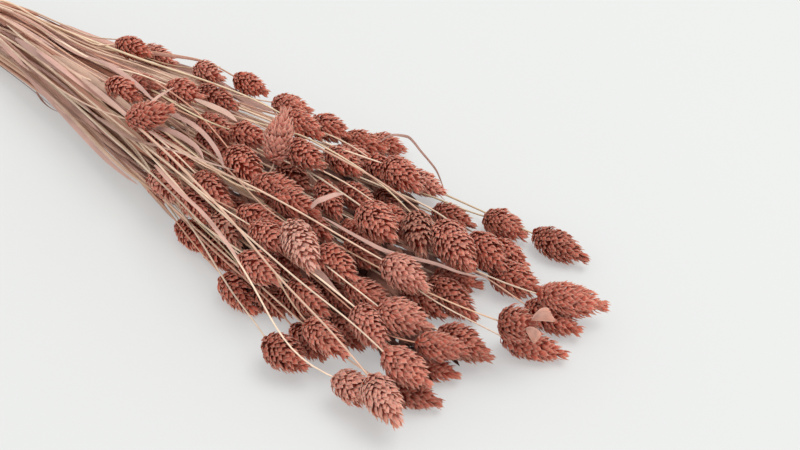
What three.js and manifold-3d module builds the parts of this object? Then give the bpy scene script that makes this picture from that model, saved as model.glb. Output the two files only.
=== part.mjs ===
// A tied bunch of dried canary grass, dyed rose, lying on a flat surface.
//
// The cut ends lie towards -X, the seed heads fan out towards +X, and +Z is up. The origin is
// at the middle of the bunch's footprint. All sizes are in millimetres.

import * as THREE from "three";
import { mergeVertices } from "three/addons/utils/BufferGeometryUtils.js";
import Module from "manifold-3d";

const wasm = await Module();
wasm.setup();

// How the photograph looks at the bunch: from above, with the bunch turned to the picture
const VIEW = {
  focal: 1000,
  centreU: 400,
  centreV: 225,
  pitch: THREE.MathUtils.degToRad(45),
  turn: THREE.MathUtils.degToRad(42),
  distance: 625,
};

// Seed heads
const HEAD_LENGTH_LEAST = 29;
const HEAD_WIDTH_LEAST = 15.5;
const HEAD_WIDTH_MOST = 22;
const HEAD_GAP = 0.5;
const PRESS = 3.8;
const HEAD_BODIES = 58;
const CLUMP_MOST = 3;
const CORE_SHARE = 0.84;
const SCALES_ROUND = 5;
const SCALE_ROWS = 5;
const SHORT_HEAD = 34;
const FIRST_ROW = 0.05;
const LAST_ROW = 0.86;
const SCALE_OVERHANG = 0.35;
const BODY_PLACES = [0.24, 0.5, 0.77];
const ROOT_PLACES = [-0.45, -0.2, 0.02];
const SETTLE_ROUNDS = 200;
const SIDEWAYS_SHARE = 0.4;
const LOW_HEAD = 6;
const SINK_SHARE = 0.25;

// Stems
const STEM_RADIUS = 1.15;
const STEM_SIDES = 3;
const STEM_STATIONS = [0, 0.3, 0.54, 0.73, 0.88, 1];
const STEM_GAP = 0.35;
const STEM_CLEARANCE = 0.45;
const STEM_END_LEAD = 34;
const ROUTE_ROUNDS = 80;
const STEM_STIFFNESS = 0.1;
const COLUMN_SIZE = 9;

// Tie and the bundle that it holds
const TIE_X = -430;
const TIE_Y = -69;
const BUNDLE_RADIUS = 15.6;
const BUNDLE_HALF = 18;
const TIE_GAP = 0.35;
const TIE_TURNS = 4;
const TIE_PITCH = 6.8;
const TIE_SIDES = 16;
const TIE_CORD = 3.1;
const TIE_FLAT = 1.1;
const TAIL_LENGTH = 98;
const TAIL_STAGGER = 9;

// Leaves
const LEAF_THICKNESS = 0.8;
const LEAF_STEPS = 5;

// Room left between bodies that would meet
const ROOM = 0.35;
const TOUCH_VOLUME = 0.0005;
const FINEST = 0.02;

// Colours
const ROSE_TONES = [0xb36f60, 0xa9655b, 0xbd7d70, 0x9d574c, 0xb5766a];
const STRAW = 0xd9bc97;
const FIBRE = 0xb89a6c;

// Each row is one seed head as the photograph shows it: the base and the tip of the head in
// picture points, the heights of base and tip above the surface, and the width in picture points.
const HEAD_ROWS = [
  [120, 45, 154, 56, 40, 36, 20],
  [150, 49, 174, 61, 24, 20, 15],
  [193, 67, 230, 78, 28, 24, 17],
  [234, 78, 270, 93, 24, 18, 20],
  [274, 101, 309, 109, 34, 30, 21],
  [318, 123, 352, 137, 30, 26, 27],
  [291, 117, 323, 135, 44, 36, 27],
  [351, 138, 387, 147, 22, 20, 25],
  [371, 138, 408, 148, 12, 12, 24],
  [389, 166, 421, 190, 30, 26, 33],
  [418, 178, 447, 192, 14, 12, 22],
  [437, 205, 476, 226, 12, 11, 20],
  [482, 219, 529, 239, 14, 11, 30],
  [532, 233, 588, 263, 12, 10, 30],
  [111, 83, 138, 95, 58, 54, 22],
  [137, 84, 161, 84, 50, 46, 18],
  [129, 116, 173, 104, 62, 66, 28],
  [170, 87, 201, 95, 52, 50, 22],
  [199, 89, 235, 107, 44, 40, 18],
  [200, 118, 236, 138, 46, 40, 26],
  [205, 140, 232, 158, 34, 30, 24],
  [236, 127, 269, 137, 52, 50, 25],
  [276, 162, 287, 106, 52, 76, 29],
  [229, 150, 259, 181, 52, 50, 34],
  [252, 181, 300, 189, 48, 46, 25],
  [281, 196, 321, 214, 46, 42, 27],
  [296, 150, 323, 166, 52, 50, 28],
  [319, 181, 339, 218, 40, 34, 24],
  [362, 204, 396, 241, 46, 38, 36],
  [388, 215, 413, 242, 26, 22, 22],
  [330, 150, 362, 172, 36, 32, 22],
  [372, 161, 396, 186, 24, 20, 22],
  [352, 189, 381, 204, 28, 26, 20],
  [380, 194, 406, 219, 14, 12, 22],
  [414, 211, 425, 256, 34, 26, 32],
  [438, 221, 476, 269, 30, 24, 38],
  [470, 232, 509, 269, 24, 18, 34],
  [494, 242, 528, 266, 12, 12, 26],
  [488, 268, 545, 292, 14, 11, 34],
  [437, 266, 486, 284, 14, 12, 24],
  [431, 278, 482, 319, 16, 12, 34],
  [398, 288, 444, 320, 12, 12, 28],
  [382, 258, 430, 289, 40, 34, 34],
  [346, 224, 382, 246, 20, 18, 22],
  [350, 247, 383, 269, 22, 18, 22],
  [285, 226, 315, 269, 54, 46, 34],
  [308, 222, 332, 240, 34, 32, 24],
  [272, 204, 305, 223, 32, 28, 22],
  [245, 212, 283, 224, 44, 42, 22],
  [257, 231, 291, 253, 42, 38, 26],
  [323, 250, 357, 281, 38, 32, 31],
  [239, 254, 280, 284, 40, 34, 28],
  [221, 274, 257, 314, 20, 12, 30],
  [265, 287, 291, 316, 14, 12, 24],
  [291, 283, 329, 317, 28, 22, 28],
  [276, 256, 301, 281, 18, 18, 20],
  [308, 268, 350, 311, 18, 14, 26],
  [335, 272, 362, 297, 14, 12, 18],
  [358, 290, 396, 304, 26, 24, 24],
  [384, 307, 441, 329, 34, 26, 36],
  [352, 307, 385, 355, 34, 24, 34],
  [327, 318, 358, 349, 14, 12, 24],
  [309, 325, 348, 358, 26, 20, 30],
  [295, 325, 327, 358, 12, 12, 24],
  [267, 343, 306, 368, 16, 14, 34],
  [336, 382, 384, 406, 16, 12, 32],
  [372, 380, 401, 427, 28, 20, 36],
  [382, 352, 433, 387, 30, 20, 34],
  [400, 389, 444, 404, 12, 12, 26],
  [418, 359, 460, 371, 12, 12, 28],
  [411, 343, 465, 352, 26, 20, 28],
  [441, 327, 492, 351, 16, 14, 32],
  [537, 294, 611, 307, 22, 14, 34],
  [526, 303, 585, 331, 12, 12, 32],
  [498, 320, 546, 324, 30, 32, 36],
  [501, 336, 571, 356, 13, 11, 30],
  [151, 170, 182, 197, 34, 28, 22],
  [163, 149, 191, 164, 40, 36, 18],
  [194, 197, 217, 223, 30, 24, 20],
  [203, 184, 228, 207, 38, 34, 18],
  [178, 217, 206, 249, 14, 12, 18],
  [205, 239, 236, 272, 12, 12, 18],
  [221, 222, 240, 246, 26, 24, 18],
  [350, 146, 380, 160, 24, 20, 20],
  [284, 168, 310, 190, 18, 16, 24],
  [226, 208, 250, 222, 26, 22, 20],
  [149, 175, 171, 202, 16, 12, 20],
  [143, 127, 171, 143, 30, 28, 16],
  [280, 293, 302, 319, 12, 11, 22],
  [462, 342, 494, 356, 12, 11, 24],
  [366, 222, 392, 238, 12, 11, 22],
];

// Each leaf blade: its course in picture points, its height at the root and at the tip, its width.
const LEAF_ROWS = [
  { course: [[20, 32], [60, 62], [99, 84], [135, 113], [152, 130]], rise: [46, 58], width: 4.6 },
  { course: [[90, 104], [140, 135], [165, 143], [200, 157], [234, 168]], rise: [48, 66], width: 3.8 },
  { course: [[150, 165], [185, 198], [212, 222], [228, 243], [238, 262]], rise: [50, 58], width: 3.8 },
  { course: [[150, 78], [178, 88], [200, 98], [222, 109], [236, 118]], rise: [60, 66], width: 4.2 },
  { course: [[288, 218], [302, 210], [316, 203], [328, 197], [341, 194]], rise: [60, 56], width: 3.8 },
  { course: [[80, 50], [100, 58], [118, 67], [136, 84], [152, 99]], rise: [52, 64], width: 3.8 },
  { course: [[130, 104], [142, 99], [152, 94], [162, 88], [172, 83]], rise: [62, 68], width: 3 },
  { course: [[140, 96], [164, 112], [182, 128], [194, 142], [202, 156]], rise: [62, 60], width: 3.8 },
  { course: [[160, 98], [184, 112], [202, 130], [214, 148], [222, 166]], rise: [58, 64], width: 3.8 },
  { course: [[318, 214], [345, 226], [385, 248], [430, 264], [487, 279]], rise: [56, 34], width: 3 },
  { course: [[378, 130], [396, 134], [412, 139], [428, 160], [444, 188]], rise: [40, 22], width: 3 },
  { course: [[10, 58], [38, 84], [70, 112], [104, 146], [128, 170]], rise: [26, 26], width: 3.8 },
  { course: [[40, 40], [74, 70], [108, 98], [140, 122], [170, 144]], rise: [54, 58], width: 4.6 },
];

const TAU = Math.PI * 2;

// Repeatable random numbers from 0 to 1
function seeded(seed) {
  let state = seed >>> 0;
  return () => {
    state = (state + 0x6d2b79f5) >>> 0;
    let mixed = Math.imul(state ^ (state >>> 15), 1 | state);
    mixed = (mixed + Math.imul(mixed ^ (mixed >>> 7), 61 | mixed)) ^ mixed;
    return ((mixed ^ (mixed >>> 14)) >>> 0) / 4294967296;
  };
}

// The eye of the photograph, in the frame of the bunch
function eyePoint() {
  const back = -VIEW.distance * Math.cos(VIEW.pitch);
  const x = -back * Math.sin(VIEW.turn);
  const y = back * Math.cos(VIEW.turn);
  return new THREE.Vector3(x, y, VIEW.distance * Math.sin(VIEW.pitch));
}

// The place that a picture point shows, at a given height above the surface
function spot(u, v, height) {
  const right = (u - VIEW.centreU) / VIEW.focal;
  const down = (v - VIEW.centreV) / VIEW.focal;
  const sine = Math.sin(VIEW.pitch);
  const cosine = Math.cos(VIEW.pitch);
  const reach = (VIEW.distance * sine - height) / (sine + down * cosine);
  const x = reach * right;
  const y = reach * (cosine - down * sine) - VIEW.distance * cosine;
  const turned = new THREE.Vector3(x, y, 0).applyAxisAngle(new THREE.Vector3(0, 0, 1), VIEW.turn);
  turned.z = height;
  turned.reach = reach;
  return turned;
}

// How thick a head is along its length, as a share of its greatest radius
function fatness(share) {
  const inside = THREE.MathUtils.clamp(share, 0, 0.9999);
  return Math.pow(Math.sin(Math.PI * Math.pow(inside, 0.84)), 0.64);
}

// The heads as the photograph gives them, before they are pressed clear of each other
function readHeads() {
  const draw = seeded(7);
  return HEAD_ROWS.map(([baseU, baseV, tipU, tipV, baseHeight, tipHeight, width]) => {
    const base = spot(baseU, baseV, baseHeight);
    const tip = spot(tipU, tipV, tipHeight);
    const reach = (base.reach + tip.reach) / 2;
    const shown = (width * reach) / VIEW.focal;
    const axis = tip.clone().sub(base);
    const length = Math.max(axis.length(), HEAD_LENGTH_LEAST + 4 * draw());
    axis.normalize();
    const radius = THREE.MathUtils.clamp(shown, HEAD_WIDTH_LEAST, HEAD_WIDTH_MOST) / 2;
    const middle = tip.clone().addScaledVector(axis, -length / 2);
    return { middle, axis, length, radius, roll: draw() * TAU, tone: Math.floor(draw() * ROSE_TONES.length) };
  });
}

// A point on a head's axis, from 0 at the base to 1 at the tip
function along(head, share) {
  return head.middle.clone().addScaledVector(head.axis, (share - 0.5) * head.length);
}

// Neighbouring heads that press together with their scales interlocked: the closest ones, in
// clumps of two or three. Gives each head's clump, and which two heads touch.
function chooseClumps(heads) {
  const near = [];
  heads.forEach((one, i) => {
    const body = ballsOf(one, BODY_PLACES);
    for (let j = i + 1; j < heads.length; j += 1) {
      near.push([closestBalls(body, ballsOf(heads[j], BODY_PLACES)).apart, i, j]);
    }
  });
  near.sort((a, b) => a[0] - b[0]);
  const clumps = heads.map((_, i) => [i]);
  const touching = new Set();
  for (const [, i, j] of near) {
    const fits = clumps[i] !== clumps[j] && clumps[i].length + clumps[j].length <= CLUMP_MOST;
    if (fits && heads.length - touching.size > HEAD_BODIES) {
      const both = [...clumps[i], ...clumps[j]];
      both.forEach((member) => {
        clumps[member] = both;
      });
      touching.add(i * heads.length + j);
    }
  }
  return { clumps, touching };
}

// The balls that stand for a head while it is pressed clear: its body, and the stem behind it
function ballsOf(head, places) {
  return places.map((share) => {
    const radius = Math.max(head.radius * fatness(share), STEM_RADIUS + 0.4);
    return { centre: along(head, share), radius };
  });
}

// The balls of two heads that come closest, and how far apart their skins are
function closestBalls(balls, others) {
  let best = null;
  for (const ball of balls) {
    for (const other of others) {
      const apart = ball.centre.distanceTo(other.centre) - ball.radius - other.radius;
      if (!best || apart < best.apart) {
        best = { apart, line: ball.centre.clone().sub(other.centre).normalize() };
      }
    }
  }
  return best;
}

// Presses the heads apart, mostly along the line of sight, and keeps them above the surface
function settle(heads, touching) {
  const eye = eyePoint();
  for (let round = 0; round < SETTLE_ROUNDS; round += 1) {
    const pushes = heads.map(() => new THREE.Vector3());
    const bodies = heads.map((head) => ballsOf(head, BODY_PLACES));
    const whole = heads.map((head) => ballsOf(head, [...ROOT_PLACES, ...BODY_PLACES]));
    for (let i = 0; i < heads.length; i += 1) {
      for (let j = i + 1; j < heads.length; j += 1) {
        const distance = heads[i].middle.distanceTo(heads[j].middle);
        const paired = touching.has(i * heads.length + j);
        if (paired || distance < 50) {
          const kinds = paired ? bodies : whole;
          const { apart, line } = closestBalls(kinds[i], kinds[j]);
          const wanted = paired ? -PRESS : HEAD_GAP;
          if (paired || apart < wanted) {
            pushes[i].addScaledVector(line, (wanted - apart) / 2);
            pushes[j].addScaledVector(line, (apart - wanted) / 2);
          }
        }
      }
    }
    heads.forEach((head, i) => {
      const sight = head.middle.clone().sub(eye).normalize();
      const deep = pushes[i].dot(sight);
      const move = pushes[i].clone().multiplyScalar(SIDEWAYS_SHARE);
      move.addScaledVector(sight, deep * (1 - SIDEWAYS_SHARE));
      head.middle.addScaledVector(move.clampLength(0, 2), 0.5);
      const lowest = Math.min(...bodies[i].map((ball) => ball.centre.z - 0.95 * ball.radius));
      if (lowest < LOW_HEAD) {
        const share = lowest < 0 ? 1 : SINK_SHARE;
        head.middle.addScaledVector(sight, (-share * lowest) / sight.z);
      }
    });
  }
}

// Where the stems stand in the tied bundle: evenly over a disc
function bundleSlots(count) {
  const golden = Math.PI * (3 - Math.sqrt(5));
  const reach = BUNDLE_RADIUS - STEM_RADIUS - 0.3;
  return Array.from({ length: count }, (_, i) => {
    const radius = reach * Math.sqrt((i + 0.5) / count);
    return { y: radius * Math.cos(i * golden), z: radius * Math.sin(i * golden) };
  });
}

// The order of items in columns from side to side, and from low to high within a column
function inColumns(items, sideways, upwards) {
  const order = items.map((_, i) => i).sort((a, b) => sideways(items[a]) - sideways(items[b]));
  const result = [];
  for (let start = 0; start < order.length; start += COLUMN_SIZE) {
    const column = order.slice(start, start + COLUMN_SIZE);
    column.sort((a, b) => upwards(items[a]) - upwards(items[b]));
    result.push(...column);
  }
  return result;
}

// Gives each head its slot in the bundle, so that the stems fan out without being woven
function slotOfHead(heads, slots) {
  const slotOrder = inColumns(slots, (slot) => slot.y, (slot) => slot.z);
  const fan = (head) => (along(head, 0).y - TIE_Y) / (along(head, 0).x - TIE_X);
  const headOrder = inColumns(heads, fan, (head) => along(head, 0).z);
  const result = [];
  headOrder.forEach((head, rank) => {
    result[head] = slots[slotOrder[rank]];
  });
  return result;
}

// The centre height of the tied bundle: the cord's turns rest on the surface
function tieHeight() {
  return BUNDLE_RADIUS + TIE_GAP + TIE_CORD - TIE_FLAT;
}

// The course of one stem from the tie to the base of its head
function stemCourse(slot, head) {
  const start = new THREE.Vector3(TIE_X + BUNDLE_HALF - 3, TIE_Y + slot.y, tieHeight() + slot.z);
  const end = along(head, 0).addScaledVector(head.axis, -STEM_GAP);
  const straight = end.clone().sub(start);
  const reach = straight.length();
  const lead = straight.normalize().add(new THREE.Vector3(1, 0, 0)).normalize();
  const curve = new THREE.CubicBezierCurve3(
    start,
    start.clone().addScaledVector(lead, reach * 0.35),
    end.clone().addScaledVector(head.axis, -STEM_END_LEAD),
    end,
  );
  return STEM_STATIONS.map((t) => curve.getPoint(t));
}

// The closest points of two straight pieces, as shares of each
function closestShares(a0, a1, b0, b1) {
  const a = a1.clone().sub(a0);
  const b = b1.clone().sub(b0);
  const between = a0.clone().sub(b0);
  const aa = a.dot(a);
  const bb = b.dot(b);
  const ab = a.dot(b);
  const at = a.dot(between);
  const bt = b.dot(between);
  const base = aa * bb - ab * ab;
  const first = base > 1e-6 ? THREE.MathUtils.clamp((ab * bt - at * bb) / base, 0, 1) : 0.5;
  const second = THREE.MathUtils.clamp((ab * first + bt) / bb, 0, 1);
  return [THREE.MathUtils.clamp((ab * second - at) / aa, 0, 1), second];
}

// How far two stems have to give way to each other
function pushBars(one, other, pushOne, pushOther) {
  const wanted = 2 * STEM_RADIUS + 0.2;
  for (let k = 0; k < one.length - 1; k += 1) {
    for (let m = 0; m < other.length - 1; m += 1) {
      const reach = one[k].distanceTo(one[k + 1]) + other[m].distanceTo(other[m + 1]);
      if (one[k].distanceTo(other[m]) < reach + wanted) {
        const [s, t] = closestShares(one[k], one[k + 1], other[m], other[m + 1]);
        const here = one[k].clone().lerp(one[k + 1], s);
        const there = other[m].clone().lerp(other[m + 1], t);
        const away = here.sub(there);
        const apart = away.length();
        if (apart < wanted) {
          away.multiplyScalar((wanted - apart) / (2 * Math.max(apart, 0.01)));
          pushOne[k].addScaledVector(away, 1 - s);
          pushOne[k + 1].addScaledVector(away, s);
          pushOther[m].addScaledVector(away, t - 1);
          pushOther[m + 1].addScaledVector(away, -t);
        }
      }
    }
  }
}

// How far a stem has to give way to the heads that are not its own
function pushFromHeads(course, own, heads, pushes) {
  for (let k = 1; k < course.length - 1; k += 1) {
    for (const part of [0, 1 / 3, 2 / 3]) {
      const here = course[k].clone().lerp(course[k + 1], part);
      for (const head of heads) {
        if (head !== own && here.distanceToSquared(head.middle) < 900) {
          const span = here.clone().sub(head.middle).dot(head.axis) / head.length;
          const share = THREE.MathUtils.clamp(span + 0.5, 0.08, 0.94);
          const away = here.clone().sub(along(head, share));
          const wanted = 1.03 * head.radius * fatness(share) + STEM_RADIUS + STEM_CLEARANCE;
          const distance = away.length();
          if (distance < wanted) {
            away.multiplyScalar((wanted - distance) / Math.max(distance, 0.01));
            pushes[k].addScaledVector(away, 1 - part);
            pushes[k + 1].addScaledVector(away, part);
          }
        }
      }
    }
  }
}

// Bends the stems clear of the heads, of each other and of the surface
function routeStems(courses, heads) {
  const rest = courses.map((course) => course.map((point) => point.clone()));
  for (let round = 0; round < ROUTE_ROUNDS; round += 1) {
    const pushes = courses.map((course) => course.map(() => new THREE.Vector3()));
    for (let i = 0; i < courses.length; i += 1) {
      for (let j = i + 1; j < courses.length; j += 1) {
        pushBars(courses[i], courses[j], pushes[i], pushes[j]);
      }
      pushFromHeads(courses[i], heads[i], heads, pushes[i]);
    }
    courses.forEach((course, i) => {
      const shift = course.map((point, k) => point.clone().sub(rest[i][k]));
      for (let k = 1; k < course.length - 1; k += 1) {
        const beside = shift[k - 1].clone().add(shift[k + 1]).multiplyScalar(0.5);
        shift[k].lerp(beside, STEM_STIFFNESS).addScaledVector(pushes[i][k], 0.35);
        course[k].addVectors(rest[i][k], shift[k]);
        course[k].z = Math.max(course[k].z, STEM_RADIUS + 0.4);
      }
    });
  }
}

// A run of straight pieces between points, as a curve
class Course extends THREE.Curve {
  constructor(points) {
    super();
    this.points = points;
  }

  getPoint(t, target = new THREE.Vector3()) {
    const place = Math.min(Math.max(t, 0), 1) * (this.points.length - 1);
    const index = Math.min(Math.floor(place), this.points.length - 2);
    return target.lerpVectors(this.points[index], this.points[index + 1], place - index);
  }

  getPointAt(u, target) {
    return this.getPoint(u, target);
  }

  getTangentAt(u, target) {
    return this.getTangent(u, target);
  }
}

// A bar with the given outline, pushed along a course
function bar(outline, points) {
  return new THREE.ExtrudeGeometry(outline, {
    steps: points.length - 1,
    extrudePath: new Course(points),
    bevelEnabled: false,
  });
}

// A regular outline
function ringOutline(radius, sides) {
  const corners = [];
  for (let k = 0; k < sides; k += 1) {
    corners.push(new THREE.Vector2(radius * Math.cos((k * TAU) / sides), radius * Math.sin((k * TAU) / sides)));
  }
  return new THREE.Shape(corners);
}

// A closed geometry as a solid that can be joined and cut
function solidOf(geometry) {
  geometry.deleteAttribute("normal");
  geometry.deleteAttribute("uv");
  const merged = mergeVertices(geometry, 1e-4);
  const mesh = new wasm.Mesh({
    numProp: 3,
    vertProperties: Float32Array.from(merged.attributes.position.array),
    triVerts: Uint32Array.from(merged.index.array),
  });
  return new wasm.Manifold(mesh);
}

// A solid back as a geometry
function geometryOf(solid) {
  const mesh = solid.getMesh();
  const geometry = new THREE.BufferGeometry();
  geometry.setAttribute("position", new THREE.BufferAttribute(mesh.vertProperties, 3));
  geometry.setIndex(new THREE.BufferAttribute(mesh.triVerts, 1));
  geometry.computeVertexNormals();
  return geometry;
}

// The largest loose piece of a solid
function largest(solid) {
  const pieces = solid.decompose();
  return pieces.reduce((a, b) => (b.volume() > a.volume() ? b : a));
}

// Joins many solids two by two
function joined(solids) {
  let row = solids;
  while (row.length > 1) {
    const next = [];
    for (let k = 0; k < row.length; k += 2) {
      next.push(k + 1 < row.length ? row[k].add(row[k + 1]) : row[k]);
    }
    row = next;
  }
  return row[0];
}

// One head: a slender core with rows of pointed scales that stand out of it, each row half a
// step round from the last. Four triangles make a scale: a roof over its base, and the core beside it.
function headGeometry(head) {
  const points = [];
  const ringPoint = (share, radius, angle) => {
    points.push(radius * Math.cos(angle), radius * Math.sin(angle), (share - 0.5) * head.length);
    return points.length / 3 - 1;
  };
  const rows = head.length < SHORT_HEAD ? SCALE_ROWS - 1 : SCALE_ROWS;
  const step = (LAST_ROW - FIRST_ROW) / rows;
  const core = [];
  const tips = [];
  for (let row = 0; row <= rows; row += 1) {
    const share = FIRST_ROW + row * step;
    const tipShare = share + step * (1 + SCALE_OVERHANG);
    core.push([]);
    tips.push([]);
    for (let k = 0; k < SCALES_ROUND; k += 1) {
      const angle = head.roll + ((k + row / 2) * TAU) / SCALES_ROUND;
      core[row].push(ringPoint(share, head.radius * CORE_SHARE * fatness(share), angle));
      if (row < rows) {
        const half = Math.PI / SCALES_ROUND;
        tips[row].push(ringPoint(tipShare, head.radius * 1.05 * fatness(tipShare - 0.03), angle + half));
      }
    }
  }
  const base = ringPoint(0, 0, 0);
  const tip = ringPoint(1, 0, 0);
  const faces = [];
  for (let k = 0; k < SCALES_ROUND; k += 1) {
    const next = (k + 1) % SCALES_ROUND;
    faces.push(base, core[0][next], core[0][k]);
    faces.push(tip, core[rows][k], core[rows][next]);
    for (let row = 0; row < rows; row += 1) {
      const [here, beside, above] = [core[row][k], core[row][next], core[row + 1][k]];
      const point = tips[row][k];
      faces.push(here, beside, point);
      faces.push(beside, above, point);
      faces.push(here, point, above);
      faces.push(beside, core[row + 1][next], above);
    }
  }
  const geometry = new THREE.BufferGeometry();
  geometry.setAttribute("position", new THREE.Float32BufferAttribute(points, 3));
  geometry.setIndex(faces);
  const turn = new THREE.Quaternion().setFromUnitVectors(new THREE.Vector3(0, 0, 1), head.axis);
  geometry.applyQuaternion(turn);
  geometry.translate(head.middle.x, head.middle.y, head.middle.z);
  return geometry;
}

// The surface that the bunch lies on, as a block to cut with
function surfaceBlock() {
  const block = new THREE.BoxGeometry(900, 400, 20);
  block.translate(-150, -30, -10);
  return solidOf(block);
}

// The packed middle of the bundle, under the tie
function bundleCore() {
  const core = new THREE.CylinderGeometry(BUNDLE_RADIUS, BUNDLE_RADIUS, 2 * BUNDLE_HALF, 20);
  core.rotateZ(-Math.PI / 2);
  core.translate(TIE_X, TIE_Y, tieHeight());
  return core;
}

// The cut end of one stem, from the packed middle back to the cut
function tailCourse(slot, stagger) {
  const low = slot.z < 0 ? 1.06 : 1.3;
  const start = new THREE.Vector3(TIE_X - BUNDLE_HALF + 3, TIE_Y + slot.y, tieHeight() + slot.z);
  const end = new THREE.Vector3(TIE_X - TAIL_LENGTH + stagger, TIE_Y + slot.y * 1.3, tieHeight() + slot.z * low);
  return [start, end];
}

// The flat outline of a blade
function bladeOutline(half, thick) {
  return new THREE.Shape([
    new THREE.Vector2(-thick, -half),
    new THREE.Vector2(thick, -half),
    new THREE.Vector2(thick, half),
    new THREE.Vector2(-thick, half),
  ]);
}

// The course of a leaf blade, rooted on the stem nearest to where it starts
function leafCourse(row, courses) {
  const steps = row.course.length - 1;
  const points = row.course.map(([u, v], k) => {
    const height = row.rise[0] + ((row.rise[1] - row.rise[0]) * k) / steps;
    return spot(u, v, height);
  });
  let root = null;
  for (const course of courses) {
    for (let k = 0; k < course.length - 1; k += 1) {
      const line = new THREE.Line3(course[k], course[k + 1]);
      const near = line.closestPointToPoint(points[0], true, new THREE.Vector3());
      if (!root || near.distanceTo(points[0]) < root.distanceTo(points[0])) {
        root = near;
      }
    }
  }
  const shift = root.clone().sub(points[0]);
  points.forEach((point, k) => point.addScaledVector(shift, Math.pow(1 - k / steps, 2)));
  return new THREE.CatmullRomCurve3(points).getPoints(LEAF_STEPS);
}

// The twine: turns side by side round the bundle, with a flat underside where it rests
function tieSolid() {
  const inner = BUNDLE_RADIUS + TIE_GAP;
  const half = (TIE_TURNS * TIE_PITCH) / 2;
  const profile = [new THREE.Vector2(inner, -half)];
  for (let turn = 0; turn < TIE_TURNS; turn += 1) {
    const start = turn * TIE_PITCH - half;
    profile.push(new THREE.Vector2(inner + TIE_CORD - 0.9, start + 0.02));
    profile.push(new THREE.Vector2(inner + TIE_CORD, start + TIE_PITCH / 2));
  }
  profile.push(new THREE.Vector2(inner + TIE_CORD - 0.9, half - 0.02));
  profile.push(new THREE.Vector2(inner, half));
  profile.push(profile[0].clone());
  const ring = new THREE.LatheGeometry(profile, TIE_SIDES);
  ring.rotateZ(-Math.PI / 2);
  ring.rotateX(Math.PI / TIE_SIDES);
  ring.translate(TIE_X, TIE_Y, tieHeight());
  return solidOf(ring);
}

// One named piece of the finished bunch
function named(name, solid, colour, roughness) {
  const material = new THREE.MeshStandardMaterial({ color: colour, roughness, metalness: 0 });
  const mesh = new THREE.Mesh(geometryOf(largest(solid.simplify(FINEST))), material);
  mesh.name = name;
  return mesh;
}

// The heads, settled, with the clumps that they make
function layHeads() {
  const heads = readHeads();
  settle(heads, new Set());
  const { clumps, touching } = chooseClumps(heads);
  settle(heads, touching);
  return { heads, clumps };
}

// What a bar takes up, and the room that a neighbour leaves for it
function bodyAndRoom(outline, roomOutline, points) {
  return { body: solidOf(bar(outline, points)), room: solidOf(bar(roomOutline, points)) };
}

// All stems with their cut ends and leaf blades, joined where the tie packs them together
function stemsSolid(slots, stems, leaves) {
  const draw = seeded(23);
  const slim = ringOutline(STEM_RADIUS, STEM_SIDES);
  const tails = slots.map((slot) => tailCourse(slot, (2 * draw() - 1) * TAIL_STAGGER));
  return joined([
    solidOf(bundleCore()),
    ...stems.map((stem) => stem.body),
    ...tails.map((tail) => solidOf(bar(slim, tail))),
    ...leaves.map((leaf) => leaf.body),
  ]);
}

// Takes out of a body the room that each bar in its way needs
function makeRoom(body, bars) {
  return bars.reduce((left, { body: other, room }) => {
    const meets = left.intersect(other).volume() > TOUCH_VOLUME;
    return meets ? left.subtract(room) : left;
  }, body);
}

// One body for each head or clump of heads, cut clear of the stems, the leaves and its neighbours
function headBodies(heads, clumps, bars) {
  const solids = heads.map((head) => solidOf(headGeometry(head)));
  const rooms = heads.map((head) => {
    const fuller = { ...head, radius: head.radius + ROOM, length: head.length + 2 * ROOM };
    return solidOf(headGeometry(fuller));
  });
  const firsts = heads.map((_, i) => i).filter((i) => clumps[i][0] === i);
  return firsts.map((i) => {
    const later = heads.map((_, j) => j).filter((j) => clumps[j][0] > i);
    const others = later.map((j) => ({ body: solids[j], room: rooms[j] }));
    const clump = joined(clumps[i].map((member) => solids[member]));
    return { count: clumps[i].length, tone: heads[i].tone, solid: makeRoom(makeRoom(clump, bars), others) };
  });
}

// The whole bunch, with the origin at the middle of its footprint
function buildBunch() {
  const { heads, clumps } = layHeads();
  const slots = slotOfHead(heads, bundleSlots(heads.length));
  const courses = heads.map((head, i) => stemCourse(slots[i], head));
  routeStems(courses, heads);

  const slim = ringOutline(STEM_RADIUS, STEM_SIDES);
  const roomy = ringOutline(STEM_RADIUS + 1.6 * ROOM, STEM_SIDES);
  const stems = courses.map((course) => bodyAndRoom(slim, roomy, course));
  const leaves = LEAF_ROWS.map((row) => {
    const flat = bladeOutline(row.width / 2, LEAF_THICKNESS / 2);
    const flatRoom = bladeOutline(row.width / 2 + ROOM, LEAF_THICKNESS / 2 + ROOM);
    return bodyAndRoom(flat, flatRoom, leafCourse(row, courses));
  });

  const surface = surfaceBlock();
  const bunch = new THREE.Group();
  bunch.add(named("tie", tieSolid().subtract(surface), FIBRE, 0.9));
  bunch.add(named("stems", stemsSolid(slots, stems, leaves).subtract(surface), STRAW, 0.7));
  headBodies(heads, clumps, [...stems, ...leaves]).forEach(({ count, tone, solid }, k) => {
    const name = `${count > 1 ? "head_clump" : "head"}_${String(k + 1).padStart(2, "0")}`;
    bunch.add(named(name, solid.subtract(surface), ROSE_TONES[tone], 0.85));
  });

  const box = new THREE.Box3().setFromObject(bunch);
  bunch.position.set(-(box.min.x + box.max.x) / 2, -(box.min.y + box.max.y) / 2, 0);
  const part = new THREE.Group();
  part.add(bunch);
  return part;
}

export default buildBunch();
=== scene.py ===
"""A bunch of dried canary grass, dyed rose and tied with twine, lying on a pale surface.

The cut ends lie towards -X, the seed heads fan out towards +X, and +Z is up. What was marked
in the photo is held as picture points with heights in millimetres. Where each head, stem
and leaf blade lies is worked out from that; everything that is made is in metres.
"""

import functools
import math
import types

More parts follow.
